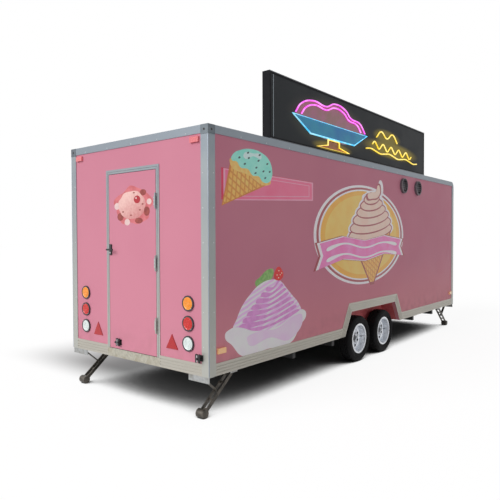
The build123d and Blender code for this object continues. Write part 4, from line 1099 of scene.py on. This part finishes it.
def door_picture():
    """Generic round scoop with a cherry, biscuit crumbs and cream."""
    art = Print("scoop", DOOR_SIDE, (0.023, 1.815), (0.285, 0), (0, 0.190), body="rear_door")
    cream = "cream ink of the door"
    art.film("skirt", [[((0.96 + 0.07 * sin(5 * turn) + 0.04 * sin(9 * turn + 1)) * cos(turn),
                         (0.92 + 0.07 * sin(5 * turn) + 0.05 * sin(8 * turn)) * sin(turn))
                        for turn in [2 * pi * index / 36 for index in range(36)]]], "salmon ink")
    art.film("biscuit", [ellipse(0.17, 0.20, (-0.66, -0.52), 10), ellipse(0.15, 0.22, (0.70, -0.30), 10),
                         ellipse(0.20, 0.14, (0.30, -0.74), 10), ellipse(0.16, 0.15, (0.52, 0.62), 10)],
             "brick ink")
    art.film("cream", [ellipse(0.15, 0.17, (-0.84, 0.02), 10), ellipse(0.14, 0.16, (-0.30, -0.80), 10),
                       ellipse(0.12, 0.14, (0.82, 0.16), 10)], cream)
    art.film("ball", [[((0.70 + 0.020 * sin(7 * turn) + 0.014 * sin(11 * turn + 2)) * cos(turn) - 0.06,
                        (0.70 + 0.022 * sin(6 * turn + 1)) * sin(turn) + 0.04)
                       for turn in [2 * pi * index / 40 for index in range(40)]]], "scoop ink")
    art.film("cherry", [ellipse(0.165, 0.19, (0.22, 0.30), 18)], "berry ink of the door")
    art.film("cherry_shine", [ellipse(0.04, 0.045, (0.17, 0.37), 10)], cream)
    art.film("crumbs", [ellipse(0.05, 0.035, spot, 8) for spot in
                        ((-0.10, -0.46), (0.36, -0.22), (-0.52, -0.28), (0.06, 0.64), (0.50, 0.06))],
             "brick ink")


# Roof sign

DISH_GRID = ((-1.42, 2.80), (0.80, 0.0), (0.0, 0.28))     # middle, half width and half height
TUBE_RADIUS = 0.0085
TUBE_LIFT = 0.008
DISH_SHEET = 0.001
# Sheets behind the tubes: outline, paint, thickness and whether it has corners
SIGN_SHEETS = {
    "dish": ([(-1.02, 0.0), (-0.5, 0.0), (0.0, 0.0), (0.5, 0.0), (1.02, 0.0), (0.81, -0.27),
              (0.60, -0.54), (0.2, -0.54), (-0.2, -0.54), (-0.60, -0.54), (-0.81, -0.27)],
             "deep blue sheet", DISH_SHEET, True),
    "whip": ([(-0.96, 0.08), (-0.84, 0.46), (-0.55, 0.72), (-0.20, 0.68), (0.02, 0.88), (0.34, 0.80),
              (0.48, 0.56), (0.80, 0.44), (0.96, 0.08)], "dusky rose ink", FILM, False),
    "foot": ([(-0.14, -0.62), (-0.14, -0.84), (-0.42, -0.96), (0.42, -0.96), (0.14, -0.84),
              (0.14, -0.62)], "burnt amber ink", FILM, True),
}
# Tubes: outlines, paint, and whether they are closed and cornered
SIGN_TUBES = {
    "magenta": ([[(-0.98, 0.10), (-0.86, 0.46), (-0.55, 0.74), (-0.20, 0.70), (0.02, 0.92), (0.36, 0.82),
                  (0.50, 0.58), (0.82, 0.46), (0.98, 0.10)],
                 [(-0.84, 0.10), (-0.74, 0.38), (-0.50, 0.60), (-0.20, 0.56), (0.02, 0.76), (0.30, 0.68),
                  (0.44, 0.46), (0.72, 0.36), (0.84, 0.10)]], "magenta tube", False),
    "cyan": ([[(-1.05, 0.02), (1.05, 0.02), (0.62, -0.56), (-0.62, -0.56)]], "cyan tube", True),
    "amber": ([[(-0.16, -0.62), (-0.16, -0.84), (-0.46, -0.98), (0.46, -0.98), (0.16, -0.84),
                (0.16, -0.62)]], "yellow tube", True),
}
# Waves beside the dish: base, start, end, height and count
SIGN_WAVES = ((2.735, -0.42, 0.86, 0.040, 5), (2.655, -0.60, 1.08, 0.016, 3))
SIGN_CROWN = [(-0.30, 2.84), (-0.16, 2.93), (0.02, 2.86), (0.20, 2.94), (0.36, 2.84)]


def wave(base, start, end, height, count):
    shares = [index / (count * 4) for index in range(count * 4 + 1)]
    return [(start + (end - start) * share, base + height * sin(2 * pi * count * share) - 0.03 * share)
            for share in shares]


def tubes(label, lines, paint, straight=False):
    """Neon tubes in one piece; straight ones are closed."""
    strokes = [curve_piece(f"neon_{label}", [points], SIGN_SIDE, TUBE_LIFT, radius=TUBE_RADIUS,
                           closed=straight, corners=straight) for points in lines]
    finish(joined(f"sign_neon_{label}", strokes), paint, 60)


def sign_drawing():
    """Neon dish and flourish on the sign's face."""
    for label, (lines, paint, straight) in SIGN_TUBES.items():
        tubes(label, [placed(points, *DISH_GRID) for points in lines], paint, straight)
    for label, (points, paint, thickness, straight) in SIGN_SHEETS.items():
        sheet = curve_piece(f"sign_{label}_fill", [placed(points, *DISH_GRID)], SIGN_SIDE, 0.0,
                            flat=thickness, corners=straight)
        finish(sheet, paint)
    tubes("flourish", [wave(*row) for row in SIGN_WAVES] + [SIGN_CROWN], "yellow tube")


# Paints, each a name, two colours and what else its finish takes

PAINTS = {
    plain: (
        ("grey corner casting", (96, 104, 112), (116, 124, 130), 0.45, 0.5),
        ("dirty plated steel", (96, 90, 82), (56, 52, 46), 0.45, 0.4, 14.0),
        # painted shade: the chassis is near black so that it sinks into the shade under the body
        ("black chassis paint", (24, 24, 26), (36, 35, 34), 0.6),
        ("white roof sheet", (226, 227, 224), (220, 221, 218), 0.4, 0.0, 2.0),
        ("painted wheel box", (226, 118, 122), (206, 98, 104), 0.5),
        (BLACK, (30, 30, 32), (40, 40, 42), 0.45),
        ("moulded rubber", (52, 50, 56), (64, 62, 66), 0.6),
        ("grey vent cover", (112, 104, 110), (84, 80, 86), 0.45, 0.3),
        ("black sign sheet", (20, 20, 24), (25, 25, 29), 0.6, 0.0, 8.0, 0.1),
        ("sign edge section", (96, 98, 102), (110, 112, 116), 0.4, 0.5),
        ("silver wheel paint", (240, 243, 248), (224, 228, 234), 0.3, 0.55),
        ("shaded wheel hole", (22, 24, 34), (30, 32, 42), 0.6),
        ("dark hub cap", (60, 62, 66), (76, 78, 82), 0.4, 0.4)),
    galvanised: (
        ("galvanised steel", (178, 180, 180), (120, 116, 106)),
        ("sill plate", (190, 186, 172), (150, 140, 118))),
    lens: (
        ("amber lens", (240, 146, 38), (255, 184, 70)),
        ("red lens", (200, 34, 32), (232, 66, 56)),
        ("clear lens", (214, 224, 222), (244, 248, 246)),
        ("pale amber marker", (246, 186, 124), (255, 220, 170)),
        ("pale red marker", (214, 92, 100), (250, 170, 174))),
    printed: (
        ("rose ink", (196, 40, 78), (180, 36, 70)),
        ("pale rose ink", (250, 150, 172), (244, 138, 162)),
        ("vivid pink ink", (238, 104, 136), (230, 96, 128)),
        ("caramel ink", (196, 122, 58), (176, 104, 48)),
        ("light wafer ink", (238, 180, 104), (222, 156, 82), 30.0),
        ("mint ink", (120, 200, 186), (150, 214, 196), 9.0),
        ("pale mint ink", (196, 232, 214), (180, 224, 206)),
        ("cocoa ink", (44, 84, 84), (58, 60, 52), 60.0),
        ("leaf ink", (130, 170, 96), (96, 140, 72), 30.0),
        ("deep lilac ink", (190, 122, 182), (206, 142, 198), 14.0),
        ("berry ink", (206, 44, 40), (184, 30, 36), 24.0),
        ("cream ink", (246, 224, 190), (240, 214, 176)),
        ("white tub ink", (250, 208, 232), (246, 200, 226)),
        ("shaded tub ink", (244, 190, 224), (236, 180, 216)),
        ("blush ink", (255, 208, 216), (252, 200, 208)),
        ("maroon ink", (150, 64, 72), (138, 56, 64)),
        ("orange ink", (240, 160, 60), (232, 148, 52)),
        ("pale orange ink", (255, 178, 92), (252, 168, 82)),
        ("peach ink", (252, 186, 172), (248, 174, 160)),
        ("magenta ink", (222, 96, 158), (236, 130, 180)),
        ("salmon ink", (222, 122, 128), (196, 92, 98), 14.0, 1.0),
        ("brick ink", (136, 50, 48), (168, 76, 66), 30.0, 1.0),
        ("cream ink of the door", (236, 208, 204), (226, 190, 188), 20.0, 1.0),
        ("berry ink of the door", (190, 36, 50), (168, 26, 42), 24.0, 1.0),
        ("dusky rose ink", (150, 84, 110), (128, 96, 84)),
        ("burnt amber ink", (150, 84, 14), (120, 64, 10))),
    lit_sheet: (
        ("deep blue sheet", (20, 100, 150), (30, 122, 152)),),
    neon: (
        ("magenta tube", (250, 90, 240), (255, 170, 250)),
        ("cyan tube", (70, 200, 250), (180, 240, 255)),
        ("yellow tube", (250, 214, 60), (255, 244, 160))),
}
for make, rows in PAINTS.items():
    for name, colour, second, *more in rows:
        make(name, rgb(*colour), rgb(*second), *more)
for make in (pink_panel, reflector, floor_plate, tyre_rubber, jockey_rubber, scoop_ink, wafer_ink,
             lilac_ink, sign_sheet):
    make()
aluminium("aluminium section along the top", rgb(138, 147, 156), 0.42, (4, 300, 300))
# the foot's copy is lighter and warmer than the top's: painted floor bounce light
aluminium("aluminium section along the foot", rgb(180, 176, 166), 0.42, (4, 300, 300), 0.5)
# the uprights' lighter, warmer foot is painted floor bounce light
aluminium("aluminium section upright", rgb(136, 146, 156), 0.42, (300, 300, 4),
          painted_bounce_colour=rgb(180, 180, 172))
# lighter than the uprights' aluminium: a painted highlight down the rear corners
aluminium("corner bead", rgb(150, 160, 172), 0.45, (300, 300, 4), 0.3)
aluminium(STEEL, rgb(196, 198, 200), 0.34, (3, 700, 700))
aluminium("plated wheel nut", rgb(186, 188, 190), 0.3, (200, 200, 200))

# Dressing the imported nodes

DRESS = {
    "pink coated panel": "front_wall rear_wall right_wall left_wall door_leaf hatch_leaf",
    "aluminium section along the top": "top_rails hatch_frame hatch_hinge",
    "aluminium section along the foot": "bottom_rails arch_trims",
    "aluminium section upright": "corner_posts door_frame door_hinges",
    "grey corner casting": "corner_caps",
    "black chassis paint": "chassis_rails chassis_crossmembers chassis_outriggers",
    "galvanised steel": "drawbar_arms drawbar_brace steady_brackets jockey_fork jockey_stem "
                        "axle_beams coupler",
    "dirty plated steel": "axle_arms steady_legs steady_struts coupler_handle jockey_clamp",
    "sill plate": "door_sill",
    "white roof sheet": "roof_panel",
    "painted wheel box": "wheel_boxes",
    "tread plate floor": "floor_panel",
    STEEL: "counter_leaf hatch_latches",
    "grey vent cover": "side_vents",
    BLACK: "door_handle door_catch door_keeper",
    "moulded rubber": "lamp_rims",
    "jockey wheel": "jockey_wheel",
    "amber lens": "amber_lamps",
    "pale amber marker": "amber_markers",
    "red lens": "red_lamps",
    "pale red marker": "red_markers",
    "red reflector": "triangle_reflectors",
    "clear lens": "white_lamps",
    "black sign sheet": "sign_cabinet sign_feet",
    "sign face sheet": "sign_face",
    "tyre rubber": " ".join(name for name in nodes if name.startswith("tyre_")),
    "silver wheel paint": " ".join(name for name in nodes if name.startswith("rim_")),
}
for paint, names in DRESS.items():
    for name in names.split():
        for slot in nodes[name].material_slots:
            slot.material = Paint.made[paint]

for build in (camera, studio_floor, studio_light, tyres, wheel_faces, lamps, seals, rivet_rows,
              corner_beads, door_fittings, pegs, roof_seams, sign_back, plaque, cone, cup, badge,
              door_picture, sign_drawing, sign_trim):
    build()

bpy.context.scene.view_settings.view_transform = "Standard"
